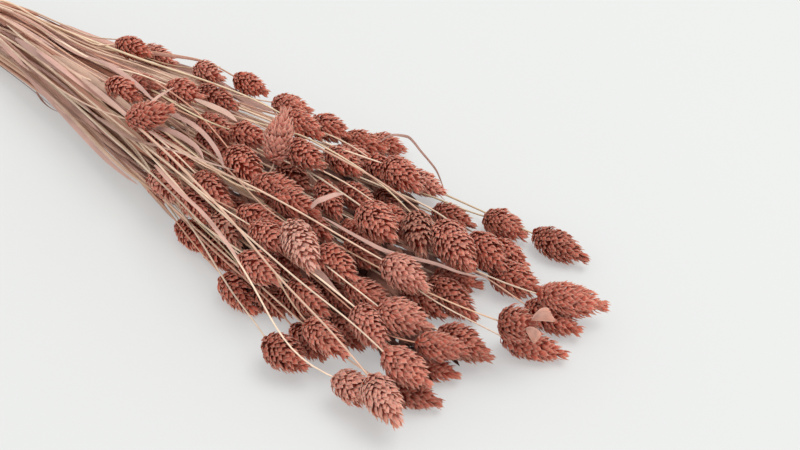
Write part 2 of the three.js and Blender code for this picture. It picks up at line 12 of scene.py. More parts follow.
import bmesh
import bpy
import numpy as np
from bpy.props import FloatProperty, FloatVectorProperty, IntProperty, PointerProperty
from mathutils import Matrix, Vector


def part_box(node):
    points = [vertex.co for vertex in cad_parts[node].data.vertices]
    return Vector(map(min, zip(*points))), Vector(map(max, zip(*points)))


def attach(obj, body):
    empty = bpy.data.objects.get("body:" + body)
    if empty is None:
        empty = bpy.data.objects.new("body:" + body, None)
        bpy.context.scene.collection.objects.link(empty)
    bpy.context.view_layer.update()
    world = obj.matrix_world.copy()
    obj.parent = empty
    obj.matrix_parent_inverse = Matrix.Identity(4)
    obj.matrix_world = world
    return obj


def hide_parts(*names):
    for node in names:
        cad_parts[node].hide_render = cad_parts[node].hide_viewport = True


bl_info = {
    "name": "Dried canary grass bunch",
    "version": (1, 0, 0),
    "blender": (4, 5, 0),
    "location": "3D View > Sidebar > Grass",
    "description": "Seed heads, stems, leaf blades and twine of a tied bunch of dyed canary grass",
    "category": "Add Mesh",
}

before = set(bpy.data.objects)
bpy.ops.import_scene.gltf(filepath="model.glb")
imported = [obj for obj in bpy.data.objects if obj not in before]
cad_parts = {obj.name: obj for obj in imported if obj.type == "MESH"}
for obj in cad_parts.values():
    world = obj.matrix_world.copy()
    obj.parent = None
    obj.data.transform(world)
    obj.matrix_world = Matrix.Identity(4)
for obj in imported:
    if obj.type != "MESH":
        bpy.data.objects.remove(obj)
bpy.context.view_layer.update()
MM = 0.001

# The eye that the solids were laid out with: its distance from the surface's middle, its tilt and
# turn, and its focal length in picture points. The scene's camera stands a little aside of it.
PICTURE_WIDTH, PICTURE_U, PICTURE_V = 800, 400, 225
FIRST_FOCAL, FIRST_DISTANCE = 1000, 625
FIRST_PITCH, TURN = math.radians(45), math.radians(42)
CAMERA_PLACE, CAMERA_TILT = (493.8, -288.5, 441.9), 45.12
CAMERA_LENS, CAMERA_FILM = 44.4, 36

# Seed heads, in millimetres: the least length and width, the gap that is left between two heads,
# how deep two that touch press together, and where along a head the balls for that stand
HEAD_LENGTH_LEAST, HEAD_WIDTH_LEAST, HEAD_WIDTH_MOST = 29, 15.5, 22
HEAD_GAP, PRESS, HEAD_BODIES, CLUMP_MOST = 0.5, 3.8, 58, 3
BODY_PLACES, ROOT_PLACES = (0.24, 0.5, 0.77), (-0.45, -0.2, 0.02)
SETTLE_ROUNDS, SIDEWAYS_SHARE, SINK_SHARE = 200, 0.4, 0.25
LOW_HEAD, NEIGHBOUR_REACH = 6, 50

# Stems: radius in the solids, places along the first course, room to give, and rounds of giving way
SOLID_STEM, STEM_STATIONS = 1.15, (0, 0.3, 0.54, 0.73, 0.88, 1)
STEM_GAP, STEM_CLEARANCE, STEM_END_LEAD, HEAD_REACH = 0.35, 0.45, 34, 30
ROUTE_ROUNDS, STEM_STIFFNESS, COLUMN_SIZE = 80, 0.1, 9
# Stems that are stretched over heads along marked points: how high and low they may go, the least
# girth of a head and the room over it, how they start, and how finely they are worked out and kept
ROUTE_TOP, ROUTE_FLOOR, ROUTE_START_HEIGHT, LATE_START = 84, 3.0, 42, 200
LEAST_GIRTH, ROUTE_CLEARANCE, ROUTE_PLUMPNESS = 0.3, 1.6, 1.12
ROUTE_POINTS, STRETCH_ROUNDS, SMOOTH_ROUNDS = 40, 4000, 16
SHORT_ROUTE_POINTS, LONG_ROUTE_POINTS = 9, 14
TAIL_LENGTH, TAIL_STAGGER = 98, 9

# Middle of the tie in the part, and where it is when the eye's foot point is the origin
TIE_X, TIE_Y, TIE_Z = -232, -29.1, 17.95
FIRST_TIE_X, FIRST_TIE_Y = -430, -69
BUNDLE_RADIUS, BUNDLE_HALF = 15.6, 18
LEAF_STEPS = 5
NAMED_LEAVES = 13

# Each row is one seed head as the photograph shows it: base and tip in picture points, the heights
# of base and tip above the surface, and the width in picture points
HEAD_ROWS = [
    (120, 45, 154, 56, 40, 36, 20),
    (150, 49, 174, 61, 24, 20, 15),
    (193, 67, 230, 78, 28, 24, 17),
    (234, 78, 270, 93, 24, 18, 20),
    (274, 101, 309, 109, 34, 30, 21),
    (318, 123, 352, 137, 30, 26, 27),
    (291, 117, 323, 135, 44, 36, 27),
    (351, 138, 387, 147, 22, 20, 25),
    (371, 138, 408, 148, 12, 12, 24),
    (389, 166, 421, 190, 30, 26, 33),
    (418, 178, 447, 192, 14, 12, 22),
    (437, 205, 476, 226, 12, 11, 20),
    (482, 219, 529, 239, 14, 11, 30),
    (532, 233, 588, 263, 12, 10, 30),
    (111, 83, 138, 95, 58, 54, 22),
    (137, 84, 161, 84, 50, 46, 18),
    (129, 116, 173, 104, 62, 66, 28),
    (170, 87, 201, 95, 52, 50, 22),
    (199, 89, 235, 107, 44, 40, 18),
    (200, 118, 236, 138, 46, 40, 26),
    (205, 140, 232, 158, 34, 30, 24),
    (236, 127, 269, 137, 52, 50, 25),
    (276, 162, 287, 106, 52, 76, 29),
    (229, 150, 259, 181, 52, 50, 34),
    (252, 181, 300, 189, 48, 46, 25),
    (281, 196, 321, 214, 46, 42, 27),
    (296, 150, 323, 166, 52, 50, 28),
    (319, 181, 339, 218, 40, 34, 24),
    (362, 204, 396, 241, 46, 38, 36),
    (388, 215, 413, 242, 26, 22, 22),
    (330, 150, 362, 172, 36, 32, 22),
    (372, 161, 396, 186, 24, 20, 22),
    (352, 189, 381, 204, 28, 26, 20),
    (380, 194, 406, 219, 14, 12, 22),
    (414, 211, 425, 256, 34, 26, 32),
    (438, 221, 476, 269, 30, 24, 38),
    (470, 232, 509, 269, 24, 18, 34),
    (494, 242, 528, 266, 12, 12, 26),
    (488, 268, 545, 292, 14, 11, 34),
    (437, 266, 486, 284, 14, 12, 24),
    (431, 278, 482, 319, 16, 12, 34),
    (398, 288, 444, 320, 12, 12, 28),
    (382, 258, 430, 289, 40, 34, 34),
    (346, 224, 382, 246, 20, 18, 22),
    (350, 247, 383, 269, 22, 18, 22),
    (285, 226, 315, 269, 54, 46, 34),
    (308, 222, 332, 240, 34, 32, 24),
    (272, 204, 305, 223, 32, 28, 22),
    (245, 212, 283, 224, 44, 42, 22),
    (257, 231, 291, 253, 42, 38, 26),
    (323, 250, 357, 281, 38, 32, 31),
    (239, 254, 280, 284, 40, 34, 28),
    (221, 274, 257, 314, 20, 12, 30),
    (265, 287, 291, 316, 14, 12, 24),
    (291, 283, 329, 317, 28, 22, 28),
    (276, 256, 301, 281, 18, 18, 20),
    (308, 268, 350, 311, 18, 14, 26),
    (335, 272, 362, 297, 14, 12, 18),
    (358, 290, 396, 304, 26, 24, 24),
    (384, 307, 441, 329, 34, 26, 36),
    (352, 307, 385, 355, 34, 24, 34),
    (327, 318, 358, 349, 14, 12, 24),
    (309, 325, 348, 358, 26, 20, 30),
    (295, 325, 327, 358, 12, 12, 24),
    (267, 343, 306, 368, 16, 14, 34),
    (336, 382, 384, 406, 16, 12, 32),
    (372, 380, 401, 427, 28, 20, 36),
    (382, 352, 433, 387, 30, 20, 34),
    (400, 389, 444, 404, 12, 12, 26),
    (418, 359, 460, 371, 12, 12, 28),
    (411, 343, 465, 352, 26, 20, 28),
    (441, 327, 492, 351, 16, 14, 32),
    (537, 294, 611, 307, 22, 14, 34),
    (526, 303, 585, 331, 12, 12, 32),
    (498, 320, 546, 324, 30, 32, 36),
    (501, 336, 571, 356, 13, 11, 30),
    (151, 170, 182, 197, 34, 28, 22),
    (163, 149, 191, 164, 40, 36, 18),
    (194, 197, 217, 223, 30, 24, 20),
    (203, 184, 228, 207, 38, 34, 18),
    (178, 217, 206, 249, 14, 12, 18),
    (205, 239, 236, 272, 12, 12, 18),
    (221, 222, 240, 246, 26, 24, 18),
    (350, 146, 380, 160, 24, 20, 20),
    (284, 168, 310, 190, 18, 16, 24),
    (226, 208, 250, 222, 26, 22, 20),
    (149, 175, 171, 202, 16, 12, 20),
    (143, 127, 171, 143, 30, 28, 16),
    (280, 293, 302, 319, 12, 11, 22),
    (462, 342, 494, 356, 12, 11, 24),
    (366, 222, 392, 238, 12, 11, 22),
]

# Heads that the scene's camera shows a little aside: by how many picture points the base and the
# tip move. One head was marked anew.
HEAD_SHIFTS = {
    0: (-3, -6, -5, -5), 1: (2, 2, 1, 1), 2: (0, -6, -9, -5), 3: (6, 0, 0, 1), 4: (8, 0, 4, 0),
    11: (5, 0, 6, -4), 12: (-2, -8, -6, -6), 13: (5, 3, 7, 3), 14: (5, 1, 1, 2),
    15: (6, -4, 2, -3), 17: (7, 0, 1, 2), 18: (2, -2, 1, -1), 21: (8, 3, 1, 3),
    22: (-3, -1, -2.5, -3), 36: (-3, 7, -5, 7), 37: (0, 3, 1, 2), 39: (0, 0, 1, -6),
    45: (4, -8, 0, 0), 52: (-2, -1, -1, 0), 61: (1, 5, 1, 5), 63: (-4, -5, -3, -4),
    64: (2, 0, 1, 2), 65: (-1, -3, -2, -1), 69: (3, 3, 2, 5), 77: (5, 2, 1, 1),
}
REMARKED_HEAD, REMARKED_BASE, REMARKED_TIP = 74, (498, 322), (538, 326)

# Stems that can be followed in the photo: the head's row, and picture points along the stem
STEM_ROUTES = {
    23: [(150, 76), (185, 100), (205, 119), (230, 149)],
    21: [(160, 92), (185, 108), (205, 119), (235, 128)],
    34: [(292, 130), (345, 155), (378, 178), (413, 211)],
    35: [(292, 135), (340, 155), (390, 185), (437, 221)],
    9: [(324, 139), (352, 150), (380, 160)],
    28: [(312, 171), (340, 190), (362, 204)],
    42: [(150, 130), (210, 165), (240, 180), (300, 210), (345, 238), (381, 258)],
    45: [(170, 120), (225, 165), (260, 203), (286, 226)],
    66: [(140, 128), (190, 175), (235, 225), (280, 280), (330, 330), (371, 379)],
    67: [(170, 165), (240, 230), (300, 281), (350, 320), (383, 352)],
    65: [
        (130, 132), (180, 190), (230, 250), (260, 300), (275, 330), (290, 355), (306, 369),
        (325, 377), (336, 382),
    ],
    62: [(262, 255), (280, 282), (292, 312), (309, 325)],
    60: [(300, 262), (330, 285), (352, 306)],
    59: [(318, 258), (350, 285), (383, 307)],
    75: [(419, 290), (445, 308), (475, 320), (501, 335)],
    72: [(480, 270), (500, 281), (539, 294)],
    73: [(480, 270), (505, 288), (527, 303)],
    12: [(440, 196), (465, 209), (484, 217)],
    13: [(420, 180), (447, 192), (486, 210), (525, 228), (531, 232)],
    70: [(388, 338), (400, 340), (411, 343)],
    22: [(238, 165), (260, 182), (271, 180), (274.5, 171), (274, 163)],
    64: [(120, 135), (165, 190), (205, 250), (249, 317), (260, 328), (268, 341)],
}
# Of these, the ones that pass under other heads, the one that starts lowest, and the longest ones
LOW_ROUTES, LOWEST_ROUTE, LOWEST_ROUTE_HEIGHT, LONG_ROUTES = (22, 64, 13), 64, 22, (65, 64)
# A head that leans up out of the bunch, which no stem has to pass
LEANING_HEAD = 22

# The bunch's edges near the tie, as picture points, and the columns between which they count
EDGE_FROM, EDGE_TO = -50, 200
LOWER_EDGE = [
    (-50, 12), (-20, 42), (2, 61), (10, 67), (20, 75), (30, 85), (40, 98), (50, 108), (60, 113),
    (80, 130), (100, 147), (120, 165), (140, 186), (160, 208), (180, 231), (200, 252),
]
UPPER_EDGE = [
    (-50, -26), (-20, -14), (2, -5), (20, 5), (30, 10), (40, 13), (60, 21), (80, 29), (100, 37),
    (120, 41),
]

# The leaf blades that can be followed: width, heights of root and tip, and picture points
LEAF_MARKS = [
    (4.6, (46, 58), ((20, 32), (60, 62), (99, 84), (135, 113), (152, 130))),
    (3.8, (48, 66), ((90, 104), (140, 135), (165, 143), (200, 157), (234, 168))),
    (3.8, (50, 58), ((150, 165), (185, 198), (212, 222), (228, 243), (238, 262))),
    (4.2, (60, 66), ((150, 78), (178, 88), (200, 98), (222, 109), (236, 118))),
    (3.8, (60, 56), ((288, 218), (302, 210), (316, 203), (328, 197), (341, 194))),
    (3.8, (52, 64), ((80, 50), (100, 58), (118, 67), (136, 84), (152, 99))),
    (3, (62, 68), ((130, 104), (142, 99), (152, 94), (162, 88), (172, 83))),
    (3.8, (62, 60), ((140, 96), (164, 112), (182, 128), (194, 142), (202, 156))),
    (3.8, (58, 64), ((160, 98), (184, 112), (202, 130), (214, 148), (222, 166))),
    (3, (56, 34), ((318, 214), (345, 226), (385, 248), (430, 264), (487, 279))),
    (3, (40, 22), ((378, 130), (396, 134), (412, 139), (428, 160), (444, 188))),
    (3.8, (26, 26), ((10, 58), (38, 84), (70, 112), (104, 146), (128, 170))),
    (4.6, (54, 58), ((40, 40), (74, 70), (108, 98), (140, 122), (170, 144))),
]
# Blades that were marked anew, with a height at each point: width, then picture points with heights
LEAF_REDRAWN = {
    4: (
        4.2,
        (
            (311, 208, 53), (317, 202, 55), (324, 198, 57), (331, 195.5, 58), (338, 194.5, 58),
            (344, 194, 57),
        ),
    ),
    9: (
        2.4,
        (
            (323, 217, 45), (346, 230.5, 45), (366, 242, 44), (382, 249, 43), (412, 258.5, 41),
            (437, 264.5, 39), (460, 272, 37), (487, 279, 34),
        ),
    ),
    10: (
        1.9,
        (
            (378, 144, 20), (386, 138, 27), (394, 135, 31), (401, 135.5, 32), (408, 137, 33),
            (413, 141, 33), (420, 150, 31), (428, 160, 28), (436, 171, 23), (442, 182, 17),
            (446, 193, 12),
        ),
    ),
}
# How far one blade moves to the left along its length, in picture points
MOVED_LEAF, MOVED_LEAF_WIDTH, MOVED_LEAF_BY = 2, 5, (10, 9, 8, 6, 3, 0)
# A blade that is seen from its third point on, and one that is broader than the solid's
LATE_LEAF, LATE_LEAF_FROM, BROAD_LEAF, BROAD_LEAF_WIDTH = 3, 2, 0, 6
# Head whose stem drops from it, and the way down: columns, rows and heights from the base
DROP_HEAD, DROP_WIDTH = 22, 1.3
DROP_WAY = [(0, -3, 1), (0.3, 3, -3), (0.3, 8, -8), (0, 14, -15)]

# Strips of leaf seen between the stems: width, height, and picture points
LEAF_STRIPS = [
    (5, 8, (92, 124), (114, 149), (136, 173), (158, 199), (174, 219)),
    (4.5, 10, (104, 132), (124, 153), (144, 175), (166, 202)),
    (5, 18, (150, 62.5), (170, 70), (190, 77), (215, 88)),
    (4.5, 17, (226, 91), (246, 99), (262, 106), (280, 113)),
    (2.6, 47, (172, 112), (181, 117), (187, 130), (193, 144), (199, 155), (205, 162)),
    (1.3, 30, (54, 104), (62, 110.5), (74, 118), (88, 123.5), (102, 124.5), (116, 120)),
    (1.8, 12, (36, 91), (39, 97), (45, 104), (53, 109.5), (62, 113)),
    (3.6, 35, (293, 251), (305, 262), (320, 274), (334, 288), (343, 298)),
    (3.6, 14, (62, 36), (100, 52), (140, 64), (190, 80)),
    (3.6, 12, (66, 46), (108, 62), (150, 76), (200, 94)),
    (3.2, 18, (70, 34), (115, 47), (160, 60), (208, 74)),
    (3.6, 12, (140, 62), (180, 76), (222, 92), (268, 110)),
    (3.2, 16, (165, 64), (205, 80), (245, 96), (284, 115)),
    (3.6, 9, (130, 72), (172, 88), (212, 104), (250, 122)),
    (6, 18, (118, 53), (150, 62), (190, 74), (236, 90)),
    (5.5, 15, (104, 50), (140, 62), (178, 76), (214, 90)),
    (6, 13, (186, 104), (206, 111), (228, 119), (262, 130)),
    (5, 17, (150, 58), (185, 70), (215, 80), (246, 98)),
    (5, 16, (200, 76), (225, 88), (248, 104), (268, 118)),
    (5, 20, (60, 24), (92, 38), (120, 48), (150, 57)),
    (5, 20, (88, 34), (120, 47), (160, 61), (205, 74)),
    (6, 18, (112, 55), (140, 66.5), (172, 77), (200, 84)),
    (5, 15, (215, 102), (240, 114), (262, 122), (285, 132)),
    (5, 15, (226, 99), (250, 111), (270, 119), (290, 127)),
    (5, 16, (160, 68), (185, 80), (210, 91), (240, 104)),
    (3, 20, (80, 40), (125, 54), (165, 66), (205, 80)),
    (3, 15, (90, 52), (130, 66), (168, 80), (210, 98)),
    (3, 9, (180, 82), (215, 96), (250, 110), (290, 130)),
    (2.6, 22, (100, 44), (140, 54), (178, 64), (200, 70)),
]

# Corners of the ground between the heads and stems that dark leaf bits cover as painted shade, as
# picture points
BED_MARKS = [
    (120, 96), (160, 106), (200, 116), (250, 130), (290, 146), (330, 162), (365, 176),
    (395, 190), (425, 212), (455, 226), (480, 244), (498, 257), (508, 272), (494, 274),
    (476, 265), (460, 278), (458, 294), (452, 302), (434, 302), (420, 322), (432, 338),
    (452, 348), (440, 358), (432, 370), (422, 382), (408, 380), (396, 365), (386, 352),
    (366, 339), (350, 334), (332, 338), (308, 326), (292, 310), (270, 296), (242, 291),
    (232, 272), (212, 248), (196, 230), (182, 210), (160, 184), (140, 160), (124, 140),
    (112, 122),
]
BED_HEIGHT = 3.0

# Two broad empty husks at the tip of one head: foot and tip as picture points with heights, width
HUSK_MARKS = [
    ((531, 323, 36), (551.5, 317.5, 36), 9.5),
    ((525, 331, 34), (537.5, 342.5, 31), 8.5),
]
HUSK_HEAD = 48

# From the eye's foot point to the part's origin, found from where the tie is in the part
TIE_MIDDLE = np.mean(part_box("tie"), axis=0) / MM
ORIGIN = np.array((*np.round(TIE_MIDDLE[:2] - (FIRST_TIE_X, FIRST_TIE_Y), 2), 0))


def repeatable(seed):
    """Repeatable random numbers from 0 to 1, the same ones as in the solids."""
    state = seed
    while True:
        state = (state + 0x6D2B79F5) & 0xFFFFFFFF
        mixed = ((state ^ (state >> 15)) * (1 | state)) & 0xFFFFFFFF
        mixed = ((mixed + (mixed ^ (mixed >> 7)) * (61 | mixed)) & 0xFFFFFFFF) ^ mixed
        yield (mixed ^ (mixed >> 14)) / 4294967296


def unit(vectors):
    """Vectors of length one, along the last axis."""
    return vectors / np.maximum(np.linalg.norm(vectors, axis=-1, keepdims=True), 1e-12)


def clamp(values, low=0.0, high=1.0):
    """Values held between two limits."""
    return np.minimum(np.maximum(values, low), high)


def first_spot(u, v, height):
    """The place that a picture point shows to the eye that the solids were laid out with."""
    right, down = (u - PICTURE_U) / FIRST_FOCAL, (v - PICTURE_V) / FIRST_FOCAL
    reach = (FIRST_DISTANCE * math.sin(FIRST_PITCH) - height) / (
        math.sin(FIRST_PITCH) + down * math.cos(FIRST_PITCH)
    )
    x = reach * right
    y = reach * (math.cos(FIRST_PITCH) - down * math.sin(FIRST_PITCH))
    y = y - FIRST_DISTANCE * math.cos(FIRST_PITCH)
    sine, cosine = math.sin(TURN), math.cos(TURN)
    return np.array((x * cosine - y * sine, x * sine + y * cosine, height)), reach


def slimness(share):
    """How thick the solids' heads are along their length, as a share of their radius."""
    return np.sin(np.pi * clamp(share, 0, 0.9999) ** 0.84) ** 0.64


class Heads:
    """The seed heads as ovals: middle, direction, length and radius of each."""

    def __init__(self):
        draw = repeatable(7)
        rows = []
        for base_u, base_v, tip_u, tip_v, base_height, tip_height, width in HEAD_ROWS:
            base, near = first_spot(base_u, base_v, base_height)
            tip, far = first_spot(tip_u, tip_v, tip_height)
            axis = tip - base
            length = max(np.linalg.norm(axis), HEAD_LENGTH_LEAST + 4 * next(draw))
            axis = axis / np.linalg.norm(axis)
            shown = width * (near + far) / 2 / FIRST_FOCAL
            radius = clamp(shown, HEAD_WIDTH_LEAST, HEAD_WIDTH_MOST) / 2
            rows.append((tip - axis * length / 2, axis, length, radius))
            next(draw), next(draw)
        self.middle, self.axis, self.length, self.radius = (np.array(part) for part in zip(*rows))

    def along(self, share):
        """Points on the axes, from 0 at the base to 1 at the tip."""
        return self.middle + self.axis * ((share - 0.5) * self.length)[:, None]

    def balls(self, places):
        """The balls that stand for each head while the heads are pressed apart."""
        centres = np.stack([self.along(share) for share in places], axis=1)
        sizes = [np.maximum(self.radius * slimness(share), SOLID_STEM + 0.4) for share in places]
        return centres, np.stack(sizes, axis=1)


def closest_balls(centres, sizes, one, other):
    """For pairs of heads: how far apart their closest balls are, and the direction between them."""
    between = centres[one][:, :, None] - centres[other][:, None]
    apart = np.linalg.norm(between, axis=-1) - sizes[one][:, :, None] - sizes[other][:, None]
    flat = apart.reshape(len(one), -1)
    best = flat.argmin(axis=1)
    rows = np.arange(len(one))
    return flat[rows, best], unit(between.reshape(len(one), -1, 3)[rows, best])


def settle(heads, touching):
    """Presses the heads apart, mostly along the line of sight, and keeps them above the surface."""
    back = FIRST_DISTANCE * math.cos(FIRST_PITCH)
    high = FIRST_DISTANCE * math.sin(FIRST_PITCH)
    eye = np.array((back * math.sin(TURN), -back * math.cos(TURN), high))
    count = len(heads.length)
    one, other = np.triu_indices(count, 1)
    paired = np.array([(i, j) in touching for i, j in zip(one, other)])
    for _ in range(SETTLE_ROUNDS):
        pushes = np.zeros((count, 3))
        centres, sizes = heads.balls(ROOT_PLACES + BODY_PLACES)
        roots = len(ROOT_PLACES)
        beside = np.linalg.norm(heads.middle[one] - heads.middle[other], axis=1) < NEIGHBOUR_REACH
        for chosen, first, wanted in (
            (paired, roots, -PRESS),
            (beside & ~paired, 0, HEAD_GAP),
        ):
            if chosen.any():
                i, j = one[chosen], other[chosen]
                apart, line = closest_balls(centres[:, first:], sizes[:, first:], i, j)
                give = (wanted - apart) / 2
                give = give if first else np.maximum(give, 0)
                np.add.at(pushes, i, line * give[:, None])
                np.add.at(pushes, j, -line * give[:, None])
        sight = unit(heads.middle - eye)
        deep = (pushes * sight).sum(axis=1, keepdims=True)
        move = pushes * SIDEWAYS_SHARE + sight * deep * (1 - SIDEWAYS_SHARE)
        far = np.linalg.norm(move, axis=1, keepdims=True)
        heads.middle = heads.middle + move * np.minimum(1, 2 / np.maximum(far, 1e-12)) * 0.5
        lowest = (centres[:, roots:, 2] - 0.95 * sizes[:, roots:]).min(axis=1)
        share = np.where(lowest < 0, 1, SINK_SHARE) * (lowest < LOW_HEAD)
        heads.middle = heads.middle + sight * (-share * lowest / sight[:, 2])[:, None]


def choose_clumps(heads):
    """The closest heads, in clumps of two or three, and which two heads touch."""
    count = len(heads.length)
    one, other = np.triu_indices(count, 1)
    apart, _ = closest_balls(*heads.balls(BODY_PLACES), one, other)
    clumps = [[i] for i in range(count)]
    touching = set()
    for pair in np.argsort(apart, kind="stable"):
        i, j = int(one[pair]), int(other[pair])
        fits = clumps[i] is not clumps[j] and len(clumps[i]) + len(clumps[j]) <= CLUMP_MOST
        if fits and count - len(touching) > HEAD_BODIES:
            both = clumps[i] + clumps[j]
            for member in both:
                clumps[member] = both
            touching.add((i, j))
    return clumps, touching


def in_columns(sideways, upwards):
    """The order of items in columns from side to side, and from low to high within a column."""
    order = sorted(range(len(sideways)), key=lambda i: sideways[i])
    result = []
    for start in range(0, len(order), COLUMN_SIZE):
        result += sorted(order[start : start + COLUMN_SIZE], key=lambda i: upwards[i])
    return result


def stem_starts(heads):
    """Where each head's stem stands in the tied bundle, so that the stems fan out unwoven."""
    count = len(heads.length)
    golden = math.pi * (3 - math.sqrt(5))
    index = np.arange(count)
    reach = (BUNDLE_RADIUS - SOLID_STEM - 0.3) * np.sqrt((index + 0.5) / count)
    across, up = reach * np.cos(index * golden), reach * np.sin(index * golden)
    base = heads.along(0)
    fan = (base[:, 1] - FIRST_TIE_Y) / (base[:, 0] - FIRST_TIE_X)
    slots = np.empty(count, int)
    slots[in_columns(fan, base[:, 2])] = in_columns(across, up)
    x = np.full(count, FIRST_TIE_X + BUNDLE_HALF - 3)
    return np.stack([x, FIRST_TIE_Y + across[slots], TIE_Z + up[slots]], axis=1)


def first_courses(heads):
    """The stems as smooth curves from the tie to the bases of their heads."""
    start = stem_starts(heads)
    end = heads.along(0) - heads.axis * STEM_GAP
    straight = end - start
    reach = np.linalg.norm(straight, axis=1, keepdims=True)
    lead = unit(straight / reach + np.array((1, 0, 0)))
    knots = (start, start + lead * reach * 0.35, end - heads.axis * STEM_END_LEAD, end)
    t = np.array(STEM_STATIONS)
    weights = ((1 - t) ** 3, 3 * (1 - t) ** 2 * t, 3 * (1 - t) * t**2, t**3)
    return sum(knot[:, None] * weight[None, :, None] for knot, weight in zip(knots, weights))


def push_bars(courses, pushes):
    """Adds how far stems have to give way to each other."""
    wanted = 2 * SOLID_STEM + 0.2
    count, stations = courses.shape[:2]
    one, other = np.triu_indices(count, 1)
    steps = np.linalg.norm(np.diff(courses, axis=1), axis=2)
    for k in range(stations - 1):
        for m in range(stations - 1):
            far = np.linalg.norm(courses[one, k] - courses[other, m], axis=1)
            near = far < steps[one, k] + steps[other, m] + wanted
            i, j = one[near], other[near]
            a, b = courses[i, k + 1] - courses[i, k], courses[j, m + 1] - courses[j, m]
            between = courses[i, k] - courses[j, m]
            dot = lambda p, q: (p * q).sum(axis=1)
            aa, bb, ab, at, bt = dot(a, a), dot(b, b), dot(a, b), dot(a, between), dot(b, between)
            base = aa * bb - ab * ab
            slanted = base > 1e-6
            meet = clamp((ab * bt - at * bb) / np.where(slanted, base, 1))
            first = np.where(slanted, meet, 0.5)
            t = clamp((ab * first + bt) / bb)
            s = clamp((ab * t - at) / aa)
            away = between + a * s[:, None] - b * t[:, None]
            apart = np.linalg.norm(away, axis=1)
            give = np.maximum(wanted - apart, 0) / (2 * np.maximum(apart, 0.01))
            away = away * give[:, None]
            np.add.at(pushes, (i, k), away * (1 - s)[:, None])
            np.add.at(pushes, (i, k + 1), away * s[:, None])
            np.add.at(pushes, (j, m), away * (t - 1)[:, None])
            np.add.at(pushes, (j, m + 1), away * -t[:, None])


def push_from_heads(courses, heads, pushes):
    """Adds how far each stem has to give way to the heads that are not its own."""
    count, stations = courses.shape[:2]
    for k in range(1, stations - 1):
        for part in (0, 1 / 3, 2 / 3):
            here = courses[:, k] + (courses[:, k + 1] - courses[:, k]) * part
            between = here[:, None] - heads.middle[None]
            near = (between**2).sum(axis=2) < HEAD_REACH**2
            near[np.arange(count), np.arange(count)] = False
            stem, head = np.nonzero(near)
            span = (between[stem, head] * heads.axis[head]).sum(axis=1) / heads.length[head]
            share = clamp(span + 0.5, 0.08, 0.94)
            reach = ((share - 0.5) * heads.length[head])[:, None]
            away = here[stem] - (heads.middle[head] + heads.axis[head] * reach)
            wanted = 1.03 * heads.radius[head] * slimness(share) + SOLID_STEM + STEM_CLEARANCE
            distance = np.linalg.norm(away, axis=1)
            give = np.maximum(wanted - distance, 0) / np.maximum(distance, 0.01)
            away = away * give[:, None]
            np.add.at(pushes, (stem, k), away * (1 - part))
            np.add.at(pushes, (stem, k + 1), away * part)


def route_stems(heads):
    """Bends the stems clear of the heads, of each other and of the surface."""
    courses = first_courses(heads)
    rest = courses.copy()
    for _ in range(ROUTE_ROUNDS):
        pushes = np.zeros_like(courses)
        push_bars(courses, pushes)
        push_from_heads(courses, heads, pushes)
        shift = courses - rest
        for k in range(1, courses.shape[1] - 1):
            beside = (shift[:, k - 1] + shift[:, k + 1]) * 0.5
            shift[:, k] += (beside - shift[:, k]) * STEM_STIFFNESS + pushes[:, k] * 0.35
            courses[:, k] = rest[:, k] + shift[:, k]
            courses[:, k, 2] = np.maximum(courses[:, k, 2], SOLID_STEM + 0.4)
    return courses


def tenths(values):
    """Millimetres to one decimal, which is as fine as the picture can be read."""
    return np.floor(np.asarray(values, float) * 10 + 0.5) / 10


CAMERA_PITCH, CAMERA_FOCAL = math.radians(CAMERA_TILT), CAMERA_LENS / CAMERA_FILM * PICTURE_WIDTH
CAMERA_FRAME = np.array(
    [[math.cos(TURN), -math.sin(TURN), 0], [math.sin(TURN), math.cos(TURN), 0], [0, 0, 1]]
) @ np.array(
    [
        [1, 0, 0],
        [0, math.cos(CAMERA_PITCH), -math.sin(CAMERA_PITCH)],
        [0, math.sin(CAMERA_PITCH), math.cos(CAMERA_PITCH)],
    ]
)


def picture_point(points):
    """Where the scene's camera shows places, as columns and rows of the picture."""
    seen = (np.asarray(points, float) - np.array(CAMERA_PLACE)) @ CAMERA_FRAME
    u = PICTURE_U + CAMERA_FOCAL * seen[..., 0] / -seen[..., 2]
    return u, PICTURE_V - CAMERA_FOCAL * seen[..., 1] / -seen[..., 2]


def spot(u, v, height):
    """The place at a given height that the scene's camera shows at a picture point."""
    right, up = (u - PICTURE_U) / CAMERA_FOCAL, (PICTURE_V - v) / CAMERA_FOCAL
    ray = CAMERA_FRAME @ np.array((right, up, -1.0))
    eye = np.array(CAMERA_PLACE)
    return eye + ray * (height - eye[2]) / ray[2]


def even_picture_points(marks, count):
    """Evenly spaced picture points on a smooth line through marked ones."""
    marks = np.asarray(marks, float)
    run = np.r_[0, np.cumsum(np.linalg.norm(np.diff(marks, axis=0), axis=1))]
    at = np.linspace(0, run[-1], count)
    slope = np.gradient(marks, run, axis=0)
    k = np.clip(np.searchsorted(run, at, side="right") - 1, 0, len(marks) - 2)
    gap = (run[k + 1] - run[k])[:, None]
    t = (at - run[k])[:, None] / gap
    near = marks[k] * (2 * t**3 - 3 * t**2 + 1) + slope[k] * gap * (t**3 - 2 * t**2 + t)
    return near + marks[k + 1] * (3 * t**2 - 2 * t**3) + slope[k + 1] * gap * (t**3 - t**2)


